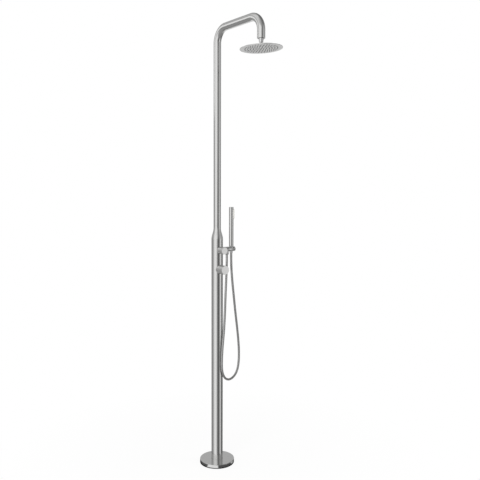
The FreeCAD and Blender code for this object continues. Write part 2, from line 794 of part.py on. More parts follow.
def handset_cap():
    top = rod(handset_r, on_handset(tube_top), UP, CAP_HEIGHT)
    rims = [edge for edge in top.Edges if is_circle_at(edge, handset_top)]
    top = top.makeFillet(KNOB_EDGE, rims)
    spigot = rod(handset_r - HANDSET_WALL - SNUG, on_handset(tube_top - CAP_SPIGOT), UP, CAP_SPIGOT)
    return top.fuse(spigot).removeSplitter()


def handset_spray_strip():
    shape = spray_block(0, spray_face_r).removeSplitter()
    face_distance = (on_handset(0) + spray_out * spray_face_r).dot(spray_out)
    rims = [edge for edge in shape.Edges if lies_on(edge, spray_out, face_distance)]
    return shape.makeFillet(SPRAY_EDGE, rims)


def lies_on(edge, direction, distance):
    """True if both ends and the middle of an edge lie on a plane."""
    middle = edge.valueAt((edge.FirstParameter + edge.LastParameter) / 2)
    points = [vertex.Point for vertex in edge.Vertexes] + [middle]
    return all(abs(point.dot(direction) - distance) < SAME_PLACE for point in points)


def handset_nozzles():
    nozzles = []
    middle = (spray_bottom + spray_top) / 2
    for row in range(SPRAY_NOZZLE_ROWS):
        height = middle + (row - (SPRAY_NOZZLE_ROWS - 1) / 2) * SPRAY_NOZZLE_PITCH
        for column in range(SPRAY_NOZZLE_COLUMNS):
            offset = (column - (SPRAY_NOZZLE_COLUMNS - 1) / 2) * SPRAY_NOZZLE_PITCH
            start = on_handset(height) + spray_across * offset + spray_out * spray_face_r
            sizes = (SPRAY_NOZZLE_OD, SPRAY_NOZZLE_TIP_OD, SPRAY_NOZZLE_HEIGHT)
            nozzles.append(nozzle_pin(*sizes, start, spray_out))
    return group(nozzles)


def nozzle_pin(root_diameter, tip_diameter, height, start, direction):
    """A six-sided silicone nozzle that narrows to its tip."""
    rings = []
    for diameter, level in ((root_diameter, 0.0), (tip_diameter, height)):
        corners = [
            Vector(diameter / 2 * math.cos(k * math.pi / 3), diameter / 2 * math.sin(k * math.pi / 3), level)
            for k in range(6)
        ]
        rings.append(Part.makePolygon(corners + corners[:1]))
    return placed(Part.makeLoft(rings, True, True), start, direction)


# ------------------------------------------------ ball joint and shower head
pocket_r = HEAD_OD / 2 - HEAD_LIP
seal_inner_r = pocket_r - SEAL_WIDTH
tilt_axis = Vector(
    -math.sin(math.radians(TILT_AXIS_AZIMUTH)),
    -math.cos(math.radians(TILT_AXIS_AZIMUTH)),
    0,
)


def on_drop(height):
    return at(0, -ARM_REACH, height)


def tilted(shape):
    """Turns a piece of the head about the ball to the way that it hangs."""
    shape.rotate(ball, tilt_axis, HEAD_TILT)
    return shape


def arm_end_plug():
    thread_hole = STUD_THREAD_LENGTH + STRAINER_THICKNESS
    shape = rod(riser_bore_r - TOUCH, on_drop(plug_bottom), UP, PLUG_LENGTH)
    return shape.cut([
        rod(STUD_THREAD_OD / 2 + TOUCH, on_drop(plug_bottom), UP, thread_hole),
        rod(waterway_r, on_drop(plug_bottom), UP, PLUG_LENGTH),
        rod(supply_r + TOUCH, on_drop(plug_top - PLUG_SOCKET), UP, PLUG_SOCKET),
    ])


def inlet_strainer():
    height = plug_bottom + STUD_THREAD_LENGTH
    return rod(STUD_THREAD_OD / 2 - SNUG, on_drop(height), UP, STRAINER_THICKNESS)


def ball_stud():
    nut_bottom = plug_bottom - STUD_NUT_LENGTH
    neck_bottom = ball_height + math.sqrt(ball_r ** 2 - (STUD_NECK_OD / 2) ** 2)
    thread = rod(STUD_THREAD_OD / 2, on_drop(plug_bottom), UP, STUD_THREAD_LENGTH)
    nut = rod(STUD_NUT_OD / 2, on_drop(nut_bottom), UP, STUD_NUT_LENGTH)
    neck_length = nut_bottom - neck_bottom
    neck = cone(STUD_NECK_OD / 2, STUD_NECK_TOP_OD / 2, on_drop(neck_bottom), UP, neck_length)
    stem = rod(STUD_NECK_OD / 2, ball, UP, neck_bottom - ball_height)
    shape = thread.fuse([nut, neck, stem, Part.makeSphere(ball_r, ball)])
    stud_top = plug_bottom + STUD_THREAD_LENGTH
    waterway = rod(STUD_WATERWAY_OD / 2, ball - UP * ball_r, UP, stud_top - ball_height + ball_r)
    return shape.cut(waterway).removeSplitter()


def ball_seat():
    band = rod(seat_r, ball - UP * SEAT_HALF_HEIGHT, UP, 2 * SEAT_HALF_HEIGHT)
    shape = Part.makeSphere(seat_r, ball).cut(Part.makeSphere(ball_r + RUNNING, ball))
    return shape.common(band)


def head_collar_nut():
    """The nut over the ball: straight over the hub's boss, tapered above it."""
    bottom = on_drop(ball_height - COLLAR_BELOW_BALL)
    straight = rod(COLLAR_OD / 2, bottom, UP, COLLAR_BELOW_BALL)
    shape = straight.fuse(cone(COLLAR_OD / 2, COLLAR_TOP_OD / 2, ball, UP, COLLAR_ABOVE_BALL))
    boss_room = rod(HUB_BOSS_OD / 2 + TOUCH, bottom, UP, COLLAR_BELOW_BALL)
    return tilted(shape.cut([Part.makeSphere(cavity_r, ball), boss_room]))


def head_hub():
    flange_r = HUB_FLANGE_OD / 2
    flange_top = hub_bottom + HUB_FLANGE_THICKNESS
    flange = cone(flange_r, flange_r - HUB_FLANGE_THICKNESS, on_drop(hub_bottom), UP, HUB_FLANGE_THICKNESS)
    boss = rod(HUB_BOSS_OD / 2, on_drop(flange_top), UP, ball_height - flange_top)
    waterway = rod(waterway_r, on_drop(hub_bottom), UP, HUB_BELOW_BALL)
    shape = flange.fuse(boss).cut([Part.makeSphere(cavity_r, ball), waterway])
    return tilted(shape.removeSplitter())


def head_shell():
    """A thin turned cover: a lip round the plate, a ledge for the seal, a low cone."""
    flange_r = HUB_FLANGE_OD / 2
    rim_r = HEAD_OD / 2
    ledge = PLATE_SHEET + SEAL_THICKNESS
    roof_inside = PLATE_SHEET + CHAMBER
    profile = [
        (waterway_r, roof_inside),
        (flange_r, roof_inside),
        (seal_inner_r, ledge),
        (pocket_r, ledge),
        (pocket_r, 0),
        (rim_r, 0),
        (rim_r, ledge + SHELL_SHEET),
        (seal_inner_r, ledge + SHELL_SHEET),
        (flange_r, roof_inside + SHELL_SHEET),
        (waterway_r, roof_inside + SHELL_SHEET),
    ]
    return tilted(turned(profile, on_drop(head_bottom), UP))


def head_spray_plate():
    return tilted(rod(pocket_r - TOUCH, on_drop(head_bottom), UP, PLATE_SHEET))


def head_seal():
    bottom = on_drop(head_bottom + PLATE_SHEET)
    return tilted(tube(pocket_r - SNUG, seal_inner_r, bottom, UP, SEAL_THICKNESS))


def head_nozzles():
    nozzles = []
    down = UP * -1
    for ring in range(NOZZLE_RINGS + 1):
        count = max(1, NOZZLES_PER_RING_STEP * ring)
        for k in range(count):
            angle = 2 * math.pi * k / count
            offset = Vector(math.cos(angle), math.sin(angle), 0) * (NOZZLE_RING_PITCH * ring)
            start = on_drop(head_bottom) + offset
            nozzles.append(nozzle_pin(NOZZLE_OD, NOZZLE_TIP_OD, NOZZLE_HEIGHT, start, down))
    return tilted(group(nozzles))


# ------------------------------------------------------------------ output
save("floor_plate", floor_plate())
save("floor_anchors", floor_anchors())
save("anchor_washers", anchor_washers())
save("anchor_nuts", anchor_nuts())
save("cover_flange", cover_flange())
save("cover_seal", cover_seal())
save("column_set_screws", column_set_screws())
save("lower_column", lower_column())
save("riser_pipe", riser_pipe())
save("riser_spigot", riser_spigot())
save("riser_set_screws", riser_set_screws())

save("mixer_sleeve", mixer.sleeve())
save("diverter_sleeve", diverter.sleeve().cut(arm_tail_hole()))
save("mixer_body", mixer.body())
save("diverter_body", diverter.body().cut(arm_tail_hole()))
for name, valve in (("mixer", mixer), ("diverter", diverter)):
    save(name + "_cartridge", valve.cartridge())
    save(name + "_retaining_nut", valve.retaining_nut())
    save(name + "_spindle", valve.spindle())
    save(name + "_knob", valve.knob())
    save(name + "_knob_screw", valve.knob_screw())

save("hot_supply_pipe", supply_pipe(-1))
save("cold_supply_pipe", supply_pipe(1))
save("supply_unions", supply_unions())
save("link_pipe", link_pipe())
save("inner_water_tube", inner_water_tube())

save("holder_arm", holder_arm())
save("outlet_nipple", outlet_nipple())
save("outlet_nut", outlet_nut())
save("outlet_washer", outlet_washer())
save("shower_hose", shower_hose())
save("hose_cone", hose_cone())
save("cone_washer", cone_washer())
save("handset_tail", handset_tail())
save("handset_tube", handset_tube())
save("handset_cap", handset_cap())
save("handset_spray_strip", handset_spray_strip())
save("handset_nozzles", handset_nozzles())

save("arm_end_plug", arm_end_plug())
save("inlet_strainer", inlet_strainer())
save("ball_stud", ball_stud())
save("ball_seat", ball_seat())
save("head_collar_nut", head_collar_nut())
save("head_hub", head_hub())
save("head_shell", head_shell())
save("head_spray_plate", head_spray_plate())
save("head_seal", head_seal())
save("head_nozzles", head_nozzles())
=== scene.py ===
import math

import bpy
import numpy as np
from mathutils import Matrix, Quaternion, Vector


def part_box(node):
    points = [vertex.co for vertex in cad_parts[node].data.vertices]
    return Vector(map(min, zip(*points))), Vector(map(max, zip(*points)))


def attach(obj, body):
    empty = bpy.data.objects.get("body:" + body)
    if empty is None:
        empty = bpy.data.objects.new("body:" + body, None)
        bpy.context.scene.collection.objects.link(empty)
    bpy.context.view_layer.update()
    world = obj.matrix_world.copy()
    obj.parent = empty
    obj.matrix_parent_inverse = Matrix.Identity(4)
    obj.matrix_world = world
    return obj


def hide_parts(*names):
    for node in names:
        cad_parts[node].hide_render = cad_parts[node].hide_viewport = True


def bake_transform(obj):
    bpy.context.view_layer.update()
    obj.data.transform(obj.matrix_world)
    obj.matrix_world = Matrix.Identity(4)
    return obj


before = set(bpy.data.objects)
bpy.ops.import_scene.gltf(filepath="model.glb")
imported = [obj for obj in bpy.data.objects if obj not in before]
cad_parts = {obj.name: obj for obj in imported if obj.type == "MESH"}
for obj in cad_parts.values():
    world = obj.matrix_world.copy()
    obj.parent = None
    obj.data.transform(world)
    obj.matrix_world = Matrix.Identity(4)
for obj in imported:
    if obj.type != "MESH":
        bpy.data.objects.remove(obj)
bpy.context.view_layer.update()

bl_info = {
    "name": "Outdoor Shower Post",
    "version": (1, 0, 0),
    "blender": (4, 5, 0),
    "location": "View3D > Sidebar > Shower Post",
    "description": "Dresses the packed model of an outdoor shower post for rendering",
    "category": "Object",
}

# Metres, in the model's own frame: +Z up, the origin under the flange, the
# arm towards -Y and the handset on the +X side.
UP = (0.0, 0.0, 1.0)
FRONT = (0.0, -1.0, 0.0)
HAIR = 0.0001           # radius of the pinhole that a turned piece closes on
FINE_EDGE = 0.0003      # rounding of an edge that is to look sharp
SHARP_ANGLE = math.radians(30)  # faces that meet more steeply are shaded with a crease

# The hose's route between the nut under the holder arm and the handset's
# cone, with heights from the arm's axis.
HOSE_ROUTE = [
    (0.034, -0.038, -0.083), (0.036, -0.030, -0.163), (0.031, -0.031, -0.248), (0.026, -0.033, -0.338),
    (0.018, -0.0365, -0.426), (0.008, -0.038, -0.504), (0.002, -0.0385, -0.578), (0.004, -0.037, -0.638),
    (0.022, -0.032, -0.677), (0.054, -0.023, -0.699), (0.092, -0.013, -0.698), (0.124, -0.005, -0.677),
    (0.142, 0.000, -0.639), (0.146, 0.000, -0.576), (0.138, -0.004, -0.502), (0.123, -0.011, -0.424),
    (0.103, -0.021, -0.336), (0.086, -0.029, -0.246), (0.070, -0.036, -0.160), (0.062, -0.038, -0.078),
]


# ------------------------------------------------------------------ the frame
def low(node):
    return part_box(node)[0]


def high(node):
    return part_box(node)[1]


def middle(node):
    return (low(node) + high(node)) / 2


def radius_of(node):
    """Half the width across X of a round node."""
    return (high(node).x - low(node).x) / 2


# --------------------------------------------------------------- small meshes
def link(name, data):
    obj = bpy.data.objects.new(name, data)
    bpy.context.scene.collection.objects.link(obj)
    return obj


def smooth_mesh(name, points, faces):
    mesh = bpy.data.meshes.new(name)
    mesh.from_pydata(points.tolist(), [], faces.tolist())
    mesh.polygons.foreach_set("use_smooth", np.ones(len(mesh.polygons), dtype=bool))
    mesh.update()
    mesh.set_sharp_from_angle(angle=SHARP_ANGLE)
    return mesh


def grid_faces(rows, columns):
    """Quads between neighbouring rows and columns, both of which close on themselves."""
    row, column = np.meshgrid(np.arange(rows), np.arange(columns), indexing="ij")
    next_row = (row + 1) % rows
    next_column = (column + 1) % columns
    corners = [
        row * columns + column,
        row * columns + next_column,
        next_row * columns + next_column,
        next_row * columns + column,
    ]
    return np.stack([corner.ravel() for corner in corners], axis=1)


def frame_on(axis):
    """Two directions square to an axis, right-handed with it."""
    w = np.array(axis, dtype=float)
    w /= np.linalg.norm(w)
    helper = np.array((1.0, 0.0, 0.0)) if abs(w[0]) < 0.9 else np.array((0.0, 1.0, 0.0))
    v = np.cross(w, helper)
    v /= np.linalg.norm(v)
    return np.cross(v, w), v, w


def rounded_outline(corners, steps=5):
    """Points (radius, height) of an outline whose corners are rounded.

    Each corner is (radius, height, rounding). The rounding is an arc that is
    tangent to both sides: corner + reach * (side directions), swept in steps.
    A point on each side next to the arc keeps the side's shading flat.
    """
    flat = np.array([corner[:2] for corner in corners], dtype=float)
    points = []
    for k, (r, z, rounding) in enumerate(corners):
        here = np.array((r, z))
        before = flat[k - 1] - here
        after = flat[(k + 1) % len(flat)] - here
        if rounding <= 0.0:
            points.append(here[None, :])
            continue
        before /= np.linalg.norm(before)
        after /= np.linalg.norm(after)
        half = math.acos(np.clip(before @ after, -1.0, 1.0)) / 2
        reach = rounding / math.tan(half)
        centre = here + (before + after) / np.linalg.norm(before + after) * rounding / math.sin(half)
        start = here + before * reach - centre
        end = here + after * reach - centre
        t = np.linspace(0.0, 1.0, steps + 1)[:, None]
        sweep = math.pi - 2 * half
        arc = (np.sin((1 - t) * sweep) * start + np.sin(t * sweep) * end) / math.sin(sweep)
        hold = rounding / 2
        points.append(centre + np.concatenate([start[None] + before * hold, arc, end[None] + after * hold]))
    return np.concatenate(points)


def turned(name, corners, origin=(0.0, 0.0, 0.0), axis=UP, columns=128, steps=5):
    """A surface of revolution, closed all round.

    P(s, t) = origin + r(s) * (cos t * u + sin t * v) + z(s) * w, where (r, z)
    is the rounded outline. The outline runs anticlockwise as seen with r to
    the right and z up, so the faces point outwards.
    """
    outline = rounded_outline(corners, steps)
    u, v, w = frame_on(axis)
    t = np.linspace(0.0, 2 * np.pi, columns, endpoint=False)
    ring = np.cos(t)[:, None] * u + np.sin(t)[:, None] * v
    points = outline[:, 0, None, None] * ring[None] + outline[:, 1, None, None] * w + np.array(origin)
    faces = grid_faces(len(outline), columns)
    return link(name, smooth_mesh(name, points.reshape(-1, 3), faces))


def solid_outline(radius, bottom, top, edge=0.0006, foot_edge=0.0002):
    """Corner list of a plain round bar, closed on a pinhole at its axis."""
    return [(HAIR, bottom, 0), (radius, bottom, foot_edge), (radius, top, edge), (HAIR, top, 0)]


def pipe_outline(outer, inner, bottom, top, edge=0.0004):
    """Corner list of a straight pipe with softened ends."""
    return [(inner, bottom, 0), (outer, bottom, edge), (outer, top, edge), (inner, top, 0)]


def swept(name, path, radius, side, columns=96, inner=None):
    """A pipe along a path: P(s, t) = path(s) + r * (cos t * side + sin t * (tangent x side)).

    With an inner radius, the surface goes back inside and closes like a ring.
    Without one, its two ends close on pinholes.
    """
    tangent = np.gradient(path, axis=0)
    tangent /= np.linalg.norm(tangent, axis=1)[:, None]
    side = side - np.sum(side * tangent, axis=1)[:, None] * tangent
    side /= np.linalg.norm(side, axis=1)[:, None]
    other = np.cross(tangent, side)
    t = np.linspace(0.0, 2 * np.pi, columns, endpoint=False)
    ring = np.cos(t)[None, :, None] * side[:, None] + np.sin(t)[None, :, None] * other[:, None]
    radius = np.broadcast_to(np.asarray(radius, dtype=float), (len(path), columns))
    points = path[:, None] + radius[:, :, None] * ring
    if inner is not None:
        inside = path[:, None] + inner * ring
        points = np.concatenate([points, inside[::-1]])
    else:
        ends = path[[-1, 0], None] + HAIR * ring[[-1, 0]]
        points = np.concatenate([points, ends])
    faces = grid_faces(len(points), columns)[:, ::-1]
    return link(name, smooth_mesh(name, points.reshape(-1, 3), faces))


def soft_copy(name, node):
    """A node's own solid, merged, with its round faces shaded smooth."""
    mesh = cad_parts[node].data.copy()
    mesh.name = name
    obj = link(name, mesh)
    mesh.materials.clear()
    weld = obj.modifiers.new("weld", "WELD")
    weld.merge_threshold = 0.00001
    bpy.context.view_layer.update()
    welded = bpy.data.meshes.new_from_object(obj.evaluated_get(bpy.context.evaluated_depsgraph_get()))
    obj.modifiers.clear()
    obj.data = welded
    welded.polygons.foreach_set("use_smooth", np.ones(len(welded.polygons), dtype=bool))
    welded.set_sharp_from_angle(angle=SHARP_ANGLE)
    return obj


def stands_for(obj, body, material, *nodes):
    """Gives a piece its body, its finish and the nodes that it stands for."""
    obj.data.materials.clear()
    obj.data.materials.append(material)
    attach(obj, body)
    if nodes:
        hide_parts(*nodes)
    return obj


def soft_copies(nodes, body, material):
    for node in nodes:
        stands_for(soft_copy(node + "_finish", node), body, material, node)


# ------------------------------------------------------------------- finishes
GRAIN_LIFT = 0.0002     # height of the grain of brushed metal, at full strength
MOULD_LIFT = 0.00005    # the same for the texture that a mould leaves
# How much longer a polishing scratch is along X, Y and Z than it is wide.
ALONG_X = (60, 1, 1)
ALONG_Y = (1, 60, 1)
ALONG_Z = (1, 1, 60)


def linear(code):
    """A hex sRGB colour as linear red, green, blue and alpha."""
    channels = [int(code[k:k + 2], 16) / 255 for k in (1, 3, 5)]
    return [c / 12.92 if c <= 0.04045 else ((c + 0.055) / 1.055) ** 2.4 for c in channels] + [1.0]


def add_node(tree, kind, settings=None, **links):
    """Adds a node, sets its properties and sockets, and links outputs to its sockets.

    A link is named for its socket, or i0, i1 and so on for a socket by number.
    """
    node = tree.nodes.new(kind)
    for key, value in (settings or {}).items():
        if hasattr(node, key):
            setattr(node, key, value)
        else:
            node.inputs[key].default_value = value
    for key, value in links.items():
        socket = node.inputs[int(key[1:])] if key[0] == "i" and key[1:].isdigit() else node.inputs[key]
        tree.links.new(value, socket)
    return node


def new_material(name):
    material = bpy.data.materials.new(name)
    material.use_nodes = True
    material.node_tree.nodes.clear()
    return material, material.node_tree


def finish_material(tree, shader):
    output = add_node(tree, "ShaderNodeOutputMaterial")
    tree.links.new(shader.outputs[0], output.inputs["Surface"])


def finish_surface(material, tree, colour, metallic, sheen, bump=None):
    """Ends a material in one shader, with its roughness from sheen and its relief from bump."""
    links = {"Roughness": sheen.outputs[0]}
    if bump:
        links["Normal"] = bump.outputs[0]
    settings = {"Base Color": colour, "Metallic": metallic}
    finish_material(tree, add_node(tree, "ShaderNodeBsdfPrincipled", settings, **links))
    return material


def brushed_stainless(name, colour, roughness, stretch, grit=0.0006, depth=0.02):
    """Stainless steel with a satin polish.

    The grain is noise drawn out along the polishing direction: stretch gives
    how much longer a scratch is along X, Y and Z than its width, the grit. It
    shows as fine streaks that vary the sheen and lift the surface a little.
    """
    material, tree = new_material(name)
    place = add_node(tree, "ShaderNodeTexCoord")
    scale = [1.0 / (grit * s) for s in stretch]
    drawn = add_node(tree, "ShaderNodeMapping", {"Scale": scale}, Vector=place.outputs["Object"])
    grain = add_node(tree, "ShaderNodeTexNoise", {"Scale": 1.0, "Detail": 3.0}, Vector=drawn.outputs[0])
    wide = add_node(tree, "ShaderNodeTexNoise", {"Scale": 9.0, "Detail": 2.0}, Vector=place.outputs["Object"])
    mixed = add_node(
        tree, "ShaderNodeMath", {"operation": "MULTIPLY"}, i0=grain.outputs[0], i1=wide.outputs[0],
    )
    sheen = add_node(
        tree, "ShaderNodeMapRange",
        {"From Min": 0.1, "From Max": 0.45, "To Min": roughness * 0.8, "To Max": roughness * 1.25},
        Value=mixed.outputs[0],
    )
    bump = add_node(
        tree, "ShaderNodeBump", {"Strength": depth, "Distance": GRAIN_LIFT}, Height=grain.outputs[0],
    )
    return finish_surface(material, tree, colour, 1.0, sheen, bump)


def spun_stainless(name, colour, roughness, centre, pitch=0.0008):
    """Sheet stainless brushed in circles, as a turned disc is.

    Rings of noise about the centre: the noise reads only the distance from
    it, so the lines close round the disc.
    """
    material, tree = new_material(name)
    place = add_node(tree, "ShaderNodeTexCoord")
    shifted = add_node(
        tree, "ShaderNodeVectorMath", {"operation": "DISTANCE"}, i0=place.outputs["Object"],
    )
    shifted.inputs[1].default_value = centre
    rings = add_node(
        tree, "ShaderNodeTexNoise", {"noise_dimensions": "1D", "Scale": 1.0 / pitch, "Detail": 2.0},
    )
    tree.links.new(shifted.outputs["Value"], rings.inputs["W"])
    sheen = add_node(
        tree, "ShaderNodeMapRange", {"To Min": roughness * 0.75, "To Max": roughness * 1.25},
        Value=rings.outputs[0],
    )
    bump = add_node(
        tree, "ShaderNodeBump", {"Strength": 0.03, "Distance": GRAIN_LIFT}, Height=rings.outputs[0],
    )
    return finish_surface(material, tree, colour, 1.0, sheen, bump)


def plated_metal(name, colour, roughness):
    """Plated or machined metal: even and bright, with faint smears in its sheen."""
    material, tree = new_material(name)
    place = add_node(tree, "ShaderNodeTexCoord")
    smear = add_node(
        tree, "ShaderNodeTexNoise", {"Scale": 60.0, "Detail": 3.0}, Vector=place.outputs["Object"],
    )
    sheen = add_node(
        tree, "ShaderNodeMapRange", {"To Min": roughness * 0.7, "To Max": roughness * 1.4},
        Value=smear.outputs[0],
    )
    return finish_surface(material, tree, colour, 1.0, sheen)


def moulded(name, colour, roughness, grain=0.0004):
    """Moulded plastic, rubber or silicone: a faint matt grain of real mould texture."""
    material, tree = new_material(name)
    place = add_node(tree, "ShaderNodeTexCoord")
    texture = add_node(
        tree, "ShaderNodeTexNoise", {"Scale": 1.0 / grain, "Detail": 2.0}, Vector=place.outputs["Object"],
    )
    sheen = add_node(
        tree, "ShaderNodeMapRange", {"To Min": roughness * 0.85, "To Max": min(1.0, roughness * 1.15)},
        Value=texture.outputs[0],
    )
    bump = add_node(
        tree, "ShaderNodeBump", {"Strength": 0.1, "Distance": MOULD_LIFT}, Height=texture.outputs[0],
    )
    return finish_surface(material, tree, colour, 0.0, sheen, bump)


class Finishes:
    """The object's finishes, each made once."""

    made = {}

    @classmethod
    def get(cls, name):
        return cls.made[name]

    @classmethod
    def make(cls, colours):
        steel = colours.steel[:]
        disc_centre = tuple(middle("head_spray_plate"))
        flange_centre = (0.0, 0.0, high("cover_flange").z)
        cls.made = {
            "upright": brushed_stainless("satin_stainless_upright", steel, 0.17, ALONG_Z),
            "knob": brushed_stainless("satin_chrome_knobs", colours.satin_chrome[:], 0.27, ALONG_Y),
            "level_side": brushed_stainless("satin_stainless_side", steel, 0.17, ALONG_X),
            "flange": spun_stainless("spun_stainless_flange", steel, 0.09, flange_centre),
            "head": spun_stainless("spun_stainless_head", steel, 0.22, disc_centre),
            "plate": spun_stainless("spun_stainless_plate", colours.plate[:], 0.34, disc_centre),
            "fitting": plated_metal("polished_chrome_plate", colours.chrome[:], 0.10),
            "fixing": plated_metal("plain_stainless_fixing", steel, 0.30),
            "brass": plated_metal("machined_brass", colours.brass[:], 0.28),
            "copper": plated_metal("drawn_copper", colours.copper[:], 0.25),
            "hose": plated_metal("wound_steel_hose", colours.hose[:], 0.28),
            "white_plastic": moulded("moulded_white_plastic", colours.white_plastic[:], 0.40),
            "rubber": moulded("moulded_black_rubber", colours.rubber[:], 0.62),
            "silicone": moulded("moulded_grey_silicone", colours.silicone[:], 0.55),
            "pale_silicone": moulded("moulded_pale_silicone", colours.pale_silicone[:], 0.55),
        }


# ------------------------------------------------------------------- settings
def number_setting(name, description, default, **more):
    return bpy.props.FloatProperty(name=name, description=description, default=default, **more)


def length_setting(name, description, default):
    return number_setting(name, description, default, min=0.0, unit="LENGTH", precision=5)


def angle_setting(name, description, degrees):
    return number_setting(name, description, math.radians(degrees), subtype="ANGLE")


def colour_setting(name, description, code):
    return bpy.props.FloatVectorProperty(
        name=name, description=description, default=linear(code), subtype="COLOR", size=4, min=0.0, max=1.0,
    )


class ShowerColours(bpy.types.PropertyGroup):
    steel: colour_setting("Steel", "Satin polished stainless steel", "#dededd")
    plate: colour_setting("Spray plate", "The sheet under the head", "#d6d6d5")
    chrome: colour_setting("Chrome", "Plated fittings", "#e6e6e6")
    satin_chrome: colour_setting("Satin chrome", "Knobs and their sleeves", "#e9e9e8")
    brass: colour_setting("Brass", "Machined brass inside the valves", "#c7a765")
    copper: colour_setting("Copper", "Supply pipes", "#c98a6b")
    hose: colour_setting("Hose", "Wound steel cover of the hose", "#c4c4c3")
    white_plastic: colour_setting("White plastic", "Inner tube, cartridges, seat, spray strip", "#dcdbd6")
    rubber: colour_setting("Rubber", "Seals and washers", "#1b1b1b")
    silicone: colour_setting("Dark silicone", "Nozzles of the head", "#1c1c1c")
    pale_silicone: colour_setting("Pale silicone", "Nozzles of the handset", "#d9d9d7")


class ShowerSizes(bpy.types.PropertyGroup):
    edge: length_setting("Edge", "Rounding of turned edges", 0.0006)
    flange_edge: length_setting("Flange edge", "Rounding of the flange's top edge", 0.0016)
    flange_sheet: length_setting("Flange sheet", "Wall of the cover flange", 0.002)
    reducer_bottom: length_setting("Reducer bottom", "Height where the column starts to narrow", 1.188)
    reducer_top: length_setting("Reducer top", "Height where it reaches the riser's size", 1.248)
    column_wall: length_setting("Column wall", "Wall of the column's tube", 0.002)
    riser_wall: length_setting("Riser wall", "Wall of the riser's tube", 0.0015)
    bend_radius: length_setting("Bend radius", "Radius of the riser's bends at its centre line", 0.072)
    head_radius: length_setting("Head radius", "Radius of the round head", 0.100)
    head_lip: length_setting("Head lip", "Width of the shell's rim round the spray plate", 0.0014)
    head_depth: length_setting("Head depth", "From the ball's centre down to the spray face", 0.0175)
    ball_radius: length_setting("Ball radius", "Radius of the joint's ball", 0.0095)
    stud_bore: length_setting("Stud bore", "Radius of the waterway through the ball stud", 0.003)
    head_lean: angle_setting("Head lean", "How far the head's axis leans, as it hangs", 2.9)
    lean_azimuth: angle_setting("Lean azimuth", "Where that axis leans to, from +X", 142.0)
    hose_diameter: length_setting("Hose diameter", "Outside of the hose", 0.012)
    hose_rib: length_setting("Hose rib", "Spacing of the winding, coarse so that it shows", 0.0045)
    hose_rib_depth: length_setting("Rib depth", "Depth of the groove between two turns", 0.0005)


class ShowerStage(bpy.types.PropertyGroup):
    floor_radius: length_setting("Floor radius", "Radius of the pale floor", 2.4)
    # The flange's edge shows a painted reflection: a ring of floor that glows light and dark for glossy rays
    # only, out to this radius.
    painted_reflection_radius: length_setting("Skirt radius", "Radius of the ring that the flange mirrors", 0.138)
    # A painted shadow: inside this radius the ring that the flange's edge shows is dark, as the shade under
    # its rim.
    painted_shadow_radius: length_setting("Joint radius", "Radius of the dark joint line round the flange", 0.1)
    floor_glow: number_setting(
        "Floor glow", "How far the floor by the post is white by itself", 0.88, min=0.0, max=1.0,
    )
    strip_brightness: number_setting("Strip", "Brightness of the board behind", 1.0)
    camera_lens: number_setting("Lens", "Focal length on a 36 mm frame", 45.34, unit="CAMERA")
    key_power: number_setting("Key", "Power of the main soft lamp", 55.0, unit="POWER")
    fill_power: number_setting("Fill", "Power of the fill lamp", 22.0, unit="POWER")


def colours():
    return bpy.context.scene.shower_colours


def sizes():
    return bpy.context.scene.shower_sizes


def stage_settings():
    return bpy.context.scene.shower_stage


# ------------------------------------------------------------------ the pieces
class SHOWER_OT_finishes(bpy.types.Operator):
    """Make the finishes, and give the inner nodes theirs"""

    bl_idname = "shower.finishes"
    bl_label = "Finishes"

    inner = {
        "fixing": ["floor_plate", "floor_anchors", "anchor_washers", "anchor_nuts", "column_set_screws",
                   "riser_spigot", "riser_set_screws", "mixer_knob_screw", "diverter_knob_screw",
                   "inlet_strainer", "arm_end_plug", "outlet_nipple"],
        "brass": ["mixer_body", "mixer_retaining_nut", "mixer_spindle", "diverter_body",
                  "diverter_retaining_nut", "diverter_spindle", "supply_unions"],
        "copper": ["hot_supply_pipe", "cold_supply_pipe", "link_pipe"],
        "white_plastic": ["mixer_cartridge", "diverter_cartridge", "inner_water_tube", "ball_seat"],
        "rubber": ["cover_seal", "outlet_washer", "cone_washer", "head_seal"],
    }

    def execute(self, context):
        Finishes.make(colours())
        for finish, nodes in self.inner.items():
            for node in nodes:
                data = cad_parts[node].data
                data.materials.clear()
                data.materials.append(Finishes.get(finish))
        return {"FINISHED"}


FLANGE_GAP = 0.0003     # between the column and the flange's bore
TUBE_EDGE = 0.0005      # rounding of the column's upper end
PLUG_RECESS = 0.001     # how far up in the drop pipe its plug sits
# Chamfers of the riser's ends: how far each goes in, and along the pipe.
FOOT_CHAMFER = (0.0004, 0.0005)
MOUTH_CHAMFER = (0.0006, 0.0006)


class SHOWER_OT_floor_flange(bpy.types.Operator):
    """Turn the cover flange that hides the floor plate"""

    bl_idname = "shower.floor_flange"
    bl_label = "Floor flange"

    def execute(self, context):
        s = sizes()
        outer = radius_of("cover_flange")
        top = high("cover_flange").z
        under = top - s.flange_sheet
        bore = radius_of("lower_column") + FLANGE_GAP
        outline = [
            (bore, under, 0),
            (outer - s.flange_sheet, under, 0),
            (outer - s.flange_sheet, 0.0, 0),
            (outer, 0.0, FINE_EDGE),
            (outer, top, s.flange_edge),
            (bore, top, FINE_EDGE),
        ]
        obj = turned("floor_cover", outline, columns=192, steps=7)
        stands_for(obj, "post", Finishes.get("flange"), "cover_flange")
        return {"FINISHED"}


def reducer_curve(outer, top_r, bottom, top, count=24):
    """Radius against height where the tube is swaged down: half a cosine wave."""
    share = np.linspace(0.0, 1.0, count)
    radius = top_r + (outer - top_r) * (1 + np.cos(np.pi * share)) / 2
    return [(r, bottom + (top - bottom) * t, 0) for r, t in zip(radius, share)]


